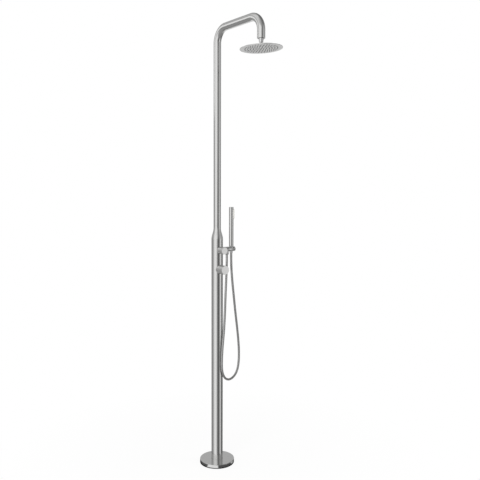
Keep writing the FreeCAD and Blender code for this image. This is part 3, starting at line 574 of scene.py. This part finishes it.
class SHOWER_OT_column(bpy.types.Operator):
    """Turn the lower column, with the swaged reducer at its top"""

    bl_idname = "shower.column"
    bl_label = "Lower column"

    def execute(self, context):
        s = sizes()
        outer = radius_of("lower_column")
        riser = radius_of("riser_pipe")
        bottom = low("lower_column").z
        top = high("lower_column").z
        outside = reducer_curve(outer, riser, s.reducer_bottom, s.reducer_top)
        inside = reducer_curve(outer - s.column_wall, riser - s.column_wall, s.reducer_bottom, s.reducer_top)
        outline = [
            (outer - s.column_wall, bottom, 0),
            (outer, bottom, FINE_EDGE),
            *outside,
            (riser, top, TUBE_EDGE),
            (riser - s.column_wall, top, 0),
            *inside[::-1],
        ]
        obj = turned("column_tube", outline, columns=160)
        stands_for(obj, "post", Finishes.get("upright"), "lower_column")
        return {"FINISHED"}


def bent_path(bottom, arm_height, reach, bend, end, arc_points=28):
    """The riser's line: up, a quarter circle, level, a quarter circle, down.

    Quarter circles are centre + bend * (cos a, sin a) in the YZ plane.
    """
    angle = np.linspace(0.0, np.pi / 2, arc_points)
    up = np.linspace(bottom, arm_height - bend, 3)[:-1]
    first = [(-bend + bend * np.cos(angle)), (arm_height - bend + bend * np.sin(angle))]
    second = [(-reach + bend - bend * np.sin(angle)), (arm_height - bend + bend * np.cos(angle))]
    down = np.linspace(arm_height - bend, end, 3)[1:]
    y = np.concatenate([np.zeros(len(up)), first[0], second[0], np.full(len(down), -reach)])
    z = np.concatenate([up, first[1], second[1], down])
    return np.stack([np.zeros(len(y)), y, z], axis=1)


class SHOWER_OT_riser(bpy.types.Operator):
    """Sweep the riser, its bends, the arm and the drop pipe"""

    bl_idname = "shower.riser"
    bl_label = "Riser"

    def execute(self, context):
        s = sizes()
        radius = radius_of("riser_pipe")
        arm_height = high("riser_pipe").z - radius
        reach = -low("riser_pipe").y - radius
        drop_end = low("arm_end_plug").z - PLUG_RECESS
        path = bent_path(low("riser_pipe").z, arm_height, reach, s.bend_radius, drop_end)
        above_foot = path[:1] + [[0, 0, FOOT_CHAMFER[1]]]
        above_mouth = path[-1:] + [[0, 0, MOUTH_CHAMFER[1]]]
        path = np.concatenate([path[:1], above_foot, path[1:-1], above_mouth, path[-1:]])
        radii = np.full(len(path), radius)
        radii[0] = radius - FOOT_CHAMFER[0]
        radii[-1] = radius - MOUTH_CHAMFER[0]
        side = np.tile((1.0, 0.0, 0.0), (len(path), 1))
        obj = swept("riser_tube", path, radii[:, None], side, inner=radius - s.riser_wall)
        stands_for(obj, "post", Finishes.get("upright"), "riser_pipe")
        return {"FINISHED"}


KNOB_EDGE = 0.0009      # rounding of a knob's face
KNOB_BACK_EDGE = 0.0004
SLEEVE_WALL = 0.0024
SLEEVE_ROOT = 0.55      # where a sleeve starts inside the column, as a share of its radius


class SHOWER_OT_valves(bpy.types.Operator):
    """Turn the two sleeves and the two knobs on the front of the column"""

    bl_idname = "shower.valves"
    bl_label = "Mixer and diverter"

    def execute(self, context):
        s = sizes()
        column = radius_of("lower_column")
        for name in ("mixer", "diverter"):
            knob_radius = radius_of(name + "_knob")
            origin = (0.0, 0.0, middle(name + "_knob").z)
            knob_back = -high(name + "_knob").y
            knob_face = -low(name + "_knob").y
            knob = turned(
                name + "_control",
                solid_outline(knob_radius, knob_back, knob_face, KNOB_EDGE, KNOB_BACK_EDGE),
                origin, FRONT, steps=6,
            )
            stands_for(knob, name + "_control", Finishes.get("knob"), name + "_knob")
            sleeve_end = -low(name + "_sleeve").y
            start = column * SLEEVE_ROOT
            sleeve = turned(
                name + "_barrel",
                pipe_outline(knob_radius, knob_radius - SLEEVE_WALL, start, sleeve_end, s.edge),
                origin, FRONT,
            )
            stands_for(sleeve, "post", Finishes.get("knob"), name + "_sleeve")
        return {"FINISHED"}


class SHOWER_OT_holder(bpy.types.Operator):
    """Finish the holder arm and the nut that the hose hangs from"""

    bl_idname = "shower.holder"
    bl_label = "Holder arm"

    def execute(self, context):
        soft_copies(["holder_arm"], "post", Finishes.get("level_side"))
        soft_copies(["outlet_nut"], "post", Finishes.get("fitting"))
        return {"FINISHED"}


HOSE_COLUMNS = 20       # points round the hose
ROWS_PER_RIB = 5        # rings of points along each turn of the winding


def winding_radius(along, s):
    """Radius of the wound cover at a length along it and an angle t round it.

    r = R - depth * (1 - sqrt(abs(sin(pi * (along / rib - t / (2 * pi))))))
    """
    turn = np.arange(HOSE_COLUMNS) / HOSE_COLUMNS
    phase = along[:, None] / s.hose_rib - turn[None, :]
    ridge = np.abs(np.sin(np.pi * phase)) ** 0.5
    return s.hose_diameter / 2 - s.hose_rib_depth * (1 - ridge)


class SHOWER_OT_hose(bpy.types.Operator):
    """Lay the hose along its route, with the winding of its steel cover"""

    bl_idname = "shower.hose"
    bl_label = "Hose"

    def execute(self, context):
        s = sizes()
        route = hose_points()
        line = smooth_line(route)
        along = np.concatenate([[0.0], np.cumsum(np.linalg.norm(np.diff(line, axis=0), axis=1))])
        rows = int(along[-1] / s.hose_rib * ROWS_PER_RIB)
        even = np.linspace(0.0, along[-1], rows)
        path = np.stack([np.interp(even, along, line[:, k]) for k in range(3)], axis=1)
        side = np.tile((0.0, 1.0, 0.0), (rows, 1))
        obj = swept("hose_winding", path, winding_radius(even, s), side, columns=HOSE_COLUMNS)
        obj.data.materials.append(Finishes.get("hose"))
        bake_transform(obj)
        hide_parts("shower_hose")
        return {"FINISHED"}


def hose_points():
    """The route's points: the nut's mouth, the points between, and the cone's mouth."""
    arm_axis = middle("holder_arm").z
    nut = middle("outlet_nut")
    cone = middle("hose_cone")
    between = [(x, y, arm_axis + z) for x, y, z in HOSE_ROUTE]
    return [(nut.x, nut.y, low("outlet_nut").z), *between, (cone.x, cone.y, low("hose_cone").z)]


def smooth_line(route):
    """Close points on the smooth curve that has the route's points as controls."""
    curve = bpy.data.curves.new("hose_route", "CURVE")
    curve.dimensions = "3D"
    curve.resolution_u = 24
    spline = curve.splines.new("NURBS")
    spline.points.add(len(route) - 1)
    for point, place in zip(spline.points, route):
        point.co = (*place, 1.0)
    spline.order_u = 3
    spline.use_endpoint_u = True
    guide = link("hose_route", curve)
    mesh = bpy.data.meshes.new_from_object(guide)
    points = np.empty(len(mesh.vertices) * 3)
    mesh.vertices.foreach_get("co", points)
    bpy.data.objects.remove(guide)
    bpy.data.curves.remove(curve)
    bpy.data.meshes.remove(mesh)
    return points.reshape(-1, 3)


HANDSET_WALL = 0.0015
HANDSET_TOP_EDGE = 0.0009
HANDSET_SEAM = 0.0002   # rounding where the handset's pieces meet
HANDSET_FOOT = 0.003    # height of the piece below the tube
HANDSET_CHAMFER = 0.0016
TAIL_RADIUS = 0.006     # thread that the cone screws on
CONE_BORE = 0.004
CONE_FOOT_RADIUS = 0.0073
CONE_FOOT_EDGE = 0.0005
CONE_SOCKET = 0.0061    # radius of the cone's hole for the thread
CONE_SOCKET_FLOOR = 0.019  # above the cone's foot


class SHOWER_OT_handset(bpy.types.Operator):
    """Turn the stick handset and its cone, and finish its spray strip"""

    bl_idname = "shower.handset"
    bl_label = "Handset"

    def execute(self, context):
        s = sizes()
        centre = middle("handset_tube")
        origin = (centre.x, centre.y, 0.0)
        radius = radius_of("handset_tail")
        tube_bottom = low("handset_tube").z
        foot = tube_bottom - HANDSET_FOOT
        tube_top = high("handset_tube").z
        top = high("handset_cap").z
        tube = turned(
            "handset_shaft",
            pipe_outline(radius, radius - HANDSET_WALL, tube_bottom, tube_top, HANDSET_SEAM), origin,
        )
        stands_for(tube, "handset", Finishes.get("upright"), "handset_tube")
        cap = turned("handset_lid", solid_outline(radius, tube_top, top, HANDSET_TOP_EDGE), origin)
        stands_for(cap, "handset", Finishes.get("upright"), "handset_cap")
        tail_low = low("handset_tail").z
        tail = turned(
            "handset_foot",
            [(HAIR, tail_low, 0), (TAIL_RADIUS, tail_low, FINE_EDGE), (TAIL_RADIUS, foot, 0),
             (radius - HANDSET_CHAMFER, foot, FINE_EDGE), (radius, foot + HANDSET_CHAMFER, FINE_EDGE),
             (radius, tube_bottom, HANDSET_SEAM), (HAIR, tube_bottom, 0)],
            origin,
        )
        stands_for(tail, "handset", Finishes.get("upright"), "handset_tail")
        soft_copies(["handset_spray_strip"], "handset", Finishes.get("white_plastic"))
        soft_copies(["handset_nozzles"], "handset", Finishes.get("pale_silicone"))
        cone_low = low("hose_cone").z
        cone_high = high("hose_cone").z
        floor = cone_low + CONE_SOCKET_FLOOR
        cone = turned(
            "cone_nut",
            [(CONE_BORE, cone_low, 0), (CONE_FOOT_RADIUS, cone_low, CONE_FOOT_EDGE),
             (radius_of("hose_cone"), cone_high, s.edge), (CONE_SOCKET, cone_high, 0),
             (CONE_SOCKET, floor, 0), (CONE_BORE, floor, 0)],
            origin,
        )
        stands_for(cone, "hose_end", Finishes.get("fitting"), "hose_cone")
        return {"FINISHED"}


# The ball joint and the head, as radii and as heights from the ball's centre.
BALL_ANGLES = np.radians(np.linspace(-70, 50, 14))  # the stretch of the ball below the neck
NECK_FOOT = (0.0064, 0.0102)        # radius and height, clear of the tilted collar
NECK_SHOULDER = (0.0098, 0.0116)
NECK_TOP = 0.0105
JOINT_EDGE = 0.0004
STUD_NUT = 0.0117
STUD_NUT_LENGTH = 0.009
STUD_THREAD = 0.008
STUD_THREAD_LENGTH = 0.014
COLLAR = 0.0145
COLLAR_BORE = 0.0129
COLLAR_THROAT = 0.0118
COLLAR_TOP = 0.01075
COLLAR_MOUTH = 0.0099
COLLAR_LOW = -0.008
COLLAR_HIGH = 0.0065
HEAD_SHEET = 0.001
HUB_RADIUS = 0.030
ROOF_AT_HUB = 0.0025    # inside of the shell above the spray face, at the hub
ROOF_AT_RIM = 0.0016
RIM_LEDGE = 0.003       # width of the level ring that the plate is bonded under
PLATE_GAP = 0.0001
PLATE_EDGE = 0.0002


def ball_and_head_axis():
    """The ball's centre and the direction that the head's axis leans to, as it hangs."""
    s = sizes()
    foot_to_centre = math.sqrt(s.ball_radius ** 2 - s.stud_bore ** 2)
    ball = Vector((0.0, middle("ball_stud").y, low("ball_stud").z + foot_to_centre))
    lean, towards = s.head_lean, s.lean_azimuth
    return ball, (math.sin(lean) * math.cos(towards), math.sin(lean) * math.sin(towards), math.cos(lean))


def ball_stud_outline(foot, top, bore, ball_radius, edge):
    """Corner list of the stud: the ball, the neck, the nut under the pipe, and the thread in it."""
    round_part = [(ball_radius * math.cos(a), ball_radius * math.sin(a), 0) for a in BALL_ANGLES]
    nut_high = top - STUD_THREAD_LENGTH
    nut_low = nut_high - STUD_NUT_LENGTH
    return [
        (bore, foot, 0), *round_part, (*NECK_FOOT, 0), (*NECK_SHOULDER, JOINT_EDGE), (NECK_TOP, nut_low, 0),
        (STUD_NUT, nut_low, edge), (STUD_NUT, nut_high, edge), (STUD_THREAD, nut_high, 0),
        (STUD_THREAD, top, JOINT_EDGE), (bore, top, 0),
    ]


def collar_outline(edge):
    """Corner list of the nut over the ball: straight over the hub's boss, tapered above it."""
    return [
        (COLLAR_BORE, COLLAR_LOW, 0), (COLLAR, COLLAR_LOW, edge), (COLLAR, 0.0, edge),
        (COLLAR_TOP, COLLAR_HIGH, JOINT_EDGE), (COLLAR_MOUTH, COLLAR_HIGH, 0), (COLLAR_THROAT, 0.0, 0),
    ]


def shell_outline(face, bore, plate, rim, edge):
    """Corner list of the head's shell: a thin roof that falls from the hub to the rim round the plate."""
    at_hub = face + ROOF_AT_HUB
    at_rim = face + ROOF_AT_RIM
    ledge = plate - RIM_LEDGE
    return [
        (bore, at_hub, 0), (HUB_RADIUS, at_hub, 0), (ledge, at_rim, 0), (plate, at_rim, 0),
        (plate, face, 0), (rim, face, FINE_EDGE), (rim, at_rim + HEAD_SHEET, edge),
        (ledge, at_rim + HEAD_SHEET, 0), (HUB_RADIUS, at_hub + HEAD_SHEET, 0), (bore, at_hub + HEAD_SHEET, 0),
    ]


class SHOWER_OT_head(bpy.types.Operator):
    """Turn the ball stud, the collar and the round head, and finish its nozzles"""

    bl_idname = "shower.head"
    bl_label = "Shower head"

    def execute(self, context):
        s = sizes()
        ball, axis = ball_and_head_axis()
        top = high("ball_stud").z - ball.z
        foot = low("ball_stud").z - ball.z
        stud_outline = ball_stud_outline(foot, top, s.stud_bore, s.ball_radius, s.edge)
        stud = turned("ball_stud_turned", stud_outline, ball)
        stands_for(stud, "post", Finishes.get("fitting"), "ball_stud")
        collar = turned("collar_turned", collar_outline(s.edge), ball, axis)
        stands_for(collar, "shower_head", Finishes.get("fitting"), "head_collar_nut")
        plate = s.head_radius - s.head_lip
        face = -s.head_depth
        cover_outline = shell_outline(face, s.stud_bore, plate, s.head_radius, s.edge)
        shell = turned("head_cover", cover_outline, ball, axis, columns=192)
        stands_for(shell, "shower_head", Finishes.get("head"), "head_shell")
        plate_outline = solid_outline(plate - PLATE_GAP, face, face + HEAD_SHEET, PLATE_EDGE, PLATE_EDGE)
        disc = turned("head_spray_disc", plate_outline, ball, axis, columns=192)
        stands_for(disc, "shower_head", Finishes.get("plate"), "head_spray_plate")
        soft_copies(["head_hub"], "shower_head", Finishes.get("fitting"))
        soft_copies(["head_nozzles"], "shower_head", Finishes.get("silicone"))
        return {"FINISHED"}


# ------------------------------------------------------------------- the stage
CAMERA_PLACE = (-1.8211, -2.5349, 1.4403)
CAMERA_HEADING = (0.6117, 0.7869, -0.0816)
CAMERA_ROLL = math.radians(0.22)
CAMERA_FRAME = 36.0     # mm
LAMP_TARGET = (0.0, -0.1, 1.0)
KEY_PLACE = (-2.6, -1.6, 3.4)
KEY_SIZE = 2.2
FILL_PLACE = (2.4, -2.4, 2.2)
FILL_SIZE = 2.4
MATT_LIGHT = 0.75       # what the world gives to matt faces
FLOOR_SHEET = 0.002
FLOOR_EDGE = 0.0005
FLOOR_FADE = (0.15, 0.5)  # shares of the floor's radius between which its shadow fades
PAINTED_SHADOW_BLUR = 0.002      # half the width over which the painted shadow line fades
PAINTED_SHADOW_LEVEL = 0.08      # brightness of the painted reflection inside the painted shadow line
BOARD_MIDDLE = Vector((-1.35, 1.38, 2.52))
BOARD_ALONG = Vector((0.755, 0.656, 0.0))
BOARD_HALF_WIDTH = 0.50
BOARD_HALF_HEIGHT = 0.46

# Painted reflection for the flange's edge: the brightness of a glowing ring of floor round it, seen only by
# glossy rays, at azimuths in degrees.
PAINTED_REFLECTION_RING = [(-180, 0.10), (-168, 0.12), (-163, 0.95), (-150, 0.95), (-146, 0.90), (-124, 0.95), (-119, 0.10),
         (-62, 0.08), (-57, 0.50), (-46, 0.50), (-40, 0.10), (150, 0.10), (175, 0.12)]


def azimuth_share(tree, direction):
    """The axes' shares of a direction, and its azimuth as a share of a full turn from -X."""
    parts = add_node(tree, "ShaderNodeSeparateXYZ", Vector=direction)
    azimuth = add_node(
        tree, "ShaderNodeMath", {"operation": "ARCTAN2"}, i0=parts.outputs["Y"], i1=parts.outputs["X"],
    )
    share = add_node(
        tree, "ShaderNodeMapRange", {"From Min": -math.pi, "From Max": math.pi}, Value=azimuth.outputs[0],
    )
    return parts, share.outputs[0]


def floor_material():
    """A white floor, with the object's shadow near it, and gone from the metal's view.

    Only a ring round the flange shows in the metal: a glowing ring of painted reflection, light and dark by
    azimuth, with a painted dark shadow line next to the flange.
    """
    material, tree = new_material("white_floor")
    settings = stage_settings()
    diffuse = add_node(tree, "ShaderNodeBsdfDiffuse", {"Color": linear("#f4f4f3")})
    glow = add_node(tree, "ShaderNodeEmission", {"Color": (1, 1, 1, 1), "Strength": 1.0})
    path = add_node(tree, "ShaderNodeLightPath")
    clear = add_node(
        tree, "ShaderNodeMath", {"operation": "MAXIMUM"},
        i0=path.outputs["Is Camera Ray"], i1=path.outputs["Is Transmission Ray"],
    )
    place = add_node(tree, "ShaderNodeTexCoord")
    distance = add_node(tree, "ShaderNodeVectorMath", {"operation": "LENGTH"}, i0=place.outputs["Object"])
    whiter = add_node(
        tree, "ShaderNodeMapRange",
        {"From Min": settings.floor_radius * FLOOR_FADE[0], "From Max": settings.floor_radius * FLOOR_FADE[1],
         "To Min": settings.floor_glow},
        Value=distance.outputs["Value"],
    )
    share = add_node(
        tree, "ShaderNodeMath", {"operation": "MULTIPLY"}, i0=clear.outputs[0], i1=whiter.outputs[0],
    )
    lit = add_node(
        tree, "ShaderNodeMixShader", i0=share.outputs[0], i1=diffuse.outputs[0], i2=glow.outputs[0],
    )
    turn = azimuth_share(tree, place.outputs["Object"])[1]
    # Painted reflection: the ring glows light and dark by azimuth, for glossy rays only.
    painted_reflection = add_node(tree, "ShaderNodeEmission", Color=brightness_by_azimuth(tree, turn, PAINTED_REFLECTION_RING))
    # Painted shadow: the ring is dark next to the flange, where the shade under its rim falls.
    clear_of_painted_shadow = add_node(
        tree, "ShaderNodeMapRange",
        {"From Min": settings.painted_shadow_radius - PAINTED_SHADOW_BLUR, "From Max": settings.painted_shadow_radius + PAINTED_SHADOW_BLUR,
         "To Min": PAINTED_SHADOW_LEVEL},
        Value=distance.outputs["Value"],
    )
    tree.links.new(clear_of_painted_shadow.outputs[0], painted_reflection.inputs["Strength"])
    outside = add_node(tree, "ShaderNodeMath", {"operation": "GREATER_THAN"}, i0=distance.outputs["Value"])
    outside.inputs[1].default_value = settings.painted_reflection_radius
    gone = add_node(tree, "ShaderNodeBsdfTransparent")
    mirrored = add_node(
        tree, "ShaderNodeMixShader", i0=outside.outputs[0], i1=painted_reflection.outputs[0], i2=gone.outputs[0],
    )
    shader = add_node(
        tree, "ShaderNodeMixShader",
        i0=path.outputs["Is Glossy Ray"], i1=lit.outputs[0], i2=mirrored.outputs[0],
    )
    finish_material(tree, shader)
    return material


# What the metal mirrors, by height above the horizon in degrees: the
# brightness of the room at azimuths in degrees from +X.
STUDIO = (
    (-38, [(-180, 0.34), (-60, 0.28), (10, 0.28), (28, 0.45), (62, 0.45), (76, 0.32), (180, 0.36)]),
    (-25, [(-180, 0.92), (-160, 1.00), (-142, 0.92), (-118, 0.20), (-100, 0.12), (-82, 0.15), (-62, 0.76),
           (-50, 0.76), (-38, 0.18), (12, 0.11), (22, 0.28), (32, 0.84), (75, 0.84), (88, 0.34), (132, 0.29),
           (152, 0.35), (168, 0.76)]),
    (-8, [(-180, 0.92), (-160, 1.00), (-142, 0.92), (-118, 0.20), (-100, 0.10), (-82, 0.14), (-63, 0.88),
          (-47, 0.88), (-36, 0.19), (12, 0.13), (22, 0.28), (32, 0.76), (75, 0.76), (88, 0.35), (132, 0.32),
          (152, 0.38), (168, 0.76)]),
    (8, [(-180, 1.00), (-160, 1.00), (-132, 0.92), (-112, 0.29), (-96, 0.11), (-80, 0.32), (-66, 0.58),
         (-50, 0.56), (-36, 0.40), (12, 0.36), (30, 0.48), (75, 0.50), (88, 0.42), (132, 0.40), (152, 0.48),
         (166, 0.80)]),
    (25, [(-180, 1.00), (-160, 1.00), (-132, 0.95), (-112, 0.32), (-96, 0.16), (-80, 0.29), (-66, 0.48),
          (-50, 0.48), (-36, 0.36), (12, 0.34), (30, 0.50), (75, 0.51), (88, 0.45), (132, 0.44), (152, 0.56),
          (166, 0.80)]),
    (38, [(-180, 0.72), (-120, 0.40), (-60, 0.19), (45, 0.18), (70, 0.44), (110, 0.50), (130, 0.76),
          (180, 0.76)]),
)


def brightness_by_azimuth(tree, share, walls):
    """A colour ramp round the room, closed where the azimuth wraps."""
    if walls[-1][0] < 180:
        walls = [*walls, (180, walls[0][1])]
    ramp = add_node(tree, "ShaderNodeValToRGB", Fac=share)
    stops = ramp.color_ramp.elements
    while len(stops) < len(walls):
        stops.new(0.5)
    for stop, (degrees, level) in zip(stops, walls):
        stop.position = (degrees + 180) / 360
        stop.color = (level, level, level, 1)
    return ramp.outputs[0]


def studio_light(tree):
    """The room's brightness in a world direction: ramps by azimuth, blended by elevation."""
    place = add_node(tree, "ShaderNodeTexCoord")
    parts, share = azimuth_share(tree, place.outputs["Generated"])
    elevation = add_node(tree, "ShaderNodeMath", {"operation": "ARCSINE"}, i0=parts.outputs["Z"])
    below, walls = STUDIO[0]
    light = brightness_by_azimuth(tree, share, walls)
    for height, walls in STUDIO[1:]:
        rise = add_node(
            tree, "ShaderNodeMapRange",
            {"interpolation_type": "SMOOTHSTEP",
             "From Min": math.radians(below), "From Max": math.radians(height)},
            Value=elevation.outputs[0],
        )
        level = brightness_by_azimuth(tree, share, walls)
        mixed = add_node(tree, "ShaderNodeMix", {"data_type": "RGBA"})
        tree.links.new(rise.outputs[0], mixed.inputs["Factor"])
        tree.links.new(light, mixed.inputs[6])
        tree.links.new(level, mixed.inputs[7])
        light = mixed.outputs[2]
        below = height
    return light


def studio_world():
    """White to the camera; soft light on matt faces; light and dark walls in the metal."""
    world = bpy.data.worlds.new("studio")
    world.use_nodes = True
    tree = world.node_tree
    tree.nodes.clear()
    metal = add_node(tree, "ShaderNodeBackground", {"Strength": 1.0}, Color=studio_light(tree))
    matt = add_node(tree, "ShaderNodeBackground", {"Color": (1, 1, 1, 1), "Strength": MATT_LIGHT})
    white = add_node(tree, "ShaderNodeBackground", {"Color": (1, 1, 1, 1), "Strength": 1.0})
    path = add_node(tree, "ShaderNodeLightPath")
    lit = add_node(
        tree, "ShaderNodeMixShader",
        i0=path.outputs["Is Glossy Ray"], i1=matt.outputs[0], i2=metal.outputs[0],
    )
    seen = add_node(
        tree, "ShaderNodeMixShader",
        i0=path.outputs["Is Camera Ray"], i1=lit.outputs[0], i2=white.outputs[0],
    )
    output = add_node(tree, "ShaderNodeOutputWorld")
    tree.links.new(seen.outputs[0], output.inputs["Surface"])
    return world


def strip_light(brightness):
    """A glowing board behind the post on the left, that only the metal of the high arm mirrors."""
    corners = [
        BOARD_MIDDLE + BOARD_ALONG * (x * BOARD_HALF_WIDTH) + Vector((0.0, 0.0, z * BOARD_HALF_HEIGHT))
        for x, z in ((-1, -1), (1, -1), (1, 1), (-1, 1))
    ]
    mesh = bpy.data.meshes.new("strip_light")
    mesh.from_pydata([tuple(corner) for corner in corners], [], [(0, 1, 2, 3)])
    board = link("strip_light", mesh)
    material, tree = new_material("glowing_board")
    glow = add_node(tree, "ShaderNodeEmission", {"Strength": brightness})
    finish_material(tree, glow)
    mesh.materials.append(material)
    board.visible_camera = False
    board.visible_diffuse = False
    board.visible_transmission = False
    board.visible_shadow = False


def soft_lamp(name, place, target, size, power):
    data = bpy.data.lights.new(name, "AREA")
    data.shape = "DISK"
    data.size = size
    data.energy = power
    lamp = link(name, data)
    lamp.location = place
    lamp.rotation_mode = "QUATERNION"
    lamp.rotation_quaternion = (Vector(target) - Vector(place)).to_track_quat("-Z", "Y")
    lamp.visible_glossy = False
    return lamp


class SHOWER_OT_stage(bpy.types.Operator):
    """Set the floor, the studio, the lamps and the camera"""

    bl_idname = "shower.stage"
    bl_label = "Stage"

    def execute(self, context):
        settings = stage_settings()
        scene = context.scene
        scene.view_settings.view_transform = "Standard"
        scene.world = studio_world()
        floor_outline = solid_outline(settings.floor_radius, -FLOOR_SHEET, 0.0, FLOOR_EDGE)
        floor = turned("floor", floor_outline, columns=96)
        floor.data.materials.append(floor_material())
        strip_light(settings.strip_brightness)
        soft_lamp("key", KEY_PLACE, LAMP_TARGET, KEY_SIZE, settings.key_power)
        soft_lamp("fill", FILL_PLACE, LAMP_TARGET, FILL_SIZE, settings.fill_power)
        add_camera(scene, settings.camera_lens)
        return {"FINISHED"}


def add_camera(scene, lens):
    """The photograph's view: from the front left, from a little above half the post's height."""
    data = bpy.data.cameras.new("camera")
    data.lens = lens
    data.sensor_width = CAMERA_FRAME
    camera = link("camera", data)
    camera.location = CAMERA_PLACE
    camera.rotation_mode = "QUATERNION"
    roll = Quaternion((0.0, 0.0, 1.0), CAMERA_ROLL)
    camera.rotation_quaternion = Vector(CAMERA_HEADING).to_track_quat("-Z", "Y") @ roll
    scene.camera = camera


# -------------------------------------------------------------------- add-on
STEPS = (
    SHOWER_OT_stage,
    SHOWER_OT_finishes,
    SHOWER_OT_hose,
    SHOWER_OT_floor_flange,
    SHOWER_OT_column,
    SHOWER_OT_riser,
    SHOWER_OT_valves,
    SHOWER_OT_holder,
    SHOWER_OT_handset,
    SHOWER_OT_head,
)


class SHOWER_PT_panel(bpy.types.Panel):
    """The steps that dress the shower post, in order"""

    bl_idname = "SHOWER_PT_panel"
    bl_label = "Shower Post"
    bl_space_type = "VIEW_3D"
    bl_region_type = "UI"
    bl_category = "Shower Post"

    def draw(self, context):
        for step in STEPS:
            self.layout.operator(step.bl_idname)
        for group in ("shower_sizes", "shower_colours", "shower_stage"):
            settings = getattr(context.scene, group)
            column = self.layout.column()
            for key in settings.__annotations__:
                column.prop(settings, key)


CLASSES = (ShowerColours, ShowerSizes, ShowerStage, *STEPS, SHOWER_PT_panel)


def register():
    for item in CLASSES:
        bpy.utils.register_class(item)
    bpy.types.Scene.shower_colours = bpy.props.PointerProperty(type=ShowerColours)
    bpy.types.Scene.shower_sizes = bpy.props.PointerProperty(type=ShowerSizes)
    bpy.types.Scene.shower_stage = bpy.props.PointerProperty(type=ShowerStage)


def unregister():
    del bpy.types.Scene.shower_stage
    del bpy.types.Scene.shower_sizes
    del bpy.types.Scene.shower_colours
    for item in reversed(CLASSES):
        bpy.utils.unregister_class(item)


def main():
    register()
    for step in STEPS:
        group, name = step.bl_idname.split(".")
        getattr(getattr(bpy.ops, group), name)()


if __name__ == "__main__":
    main()
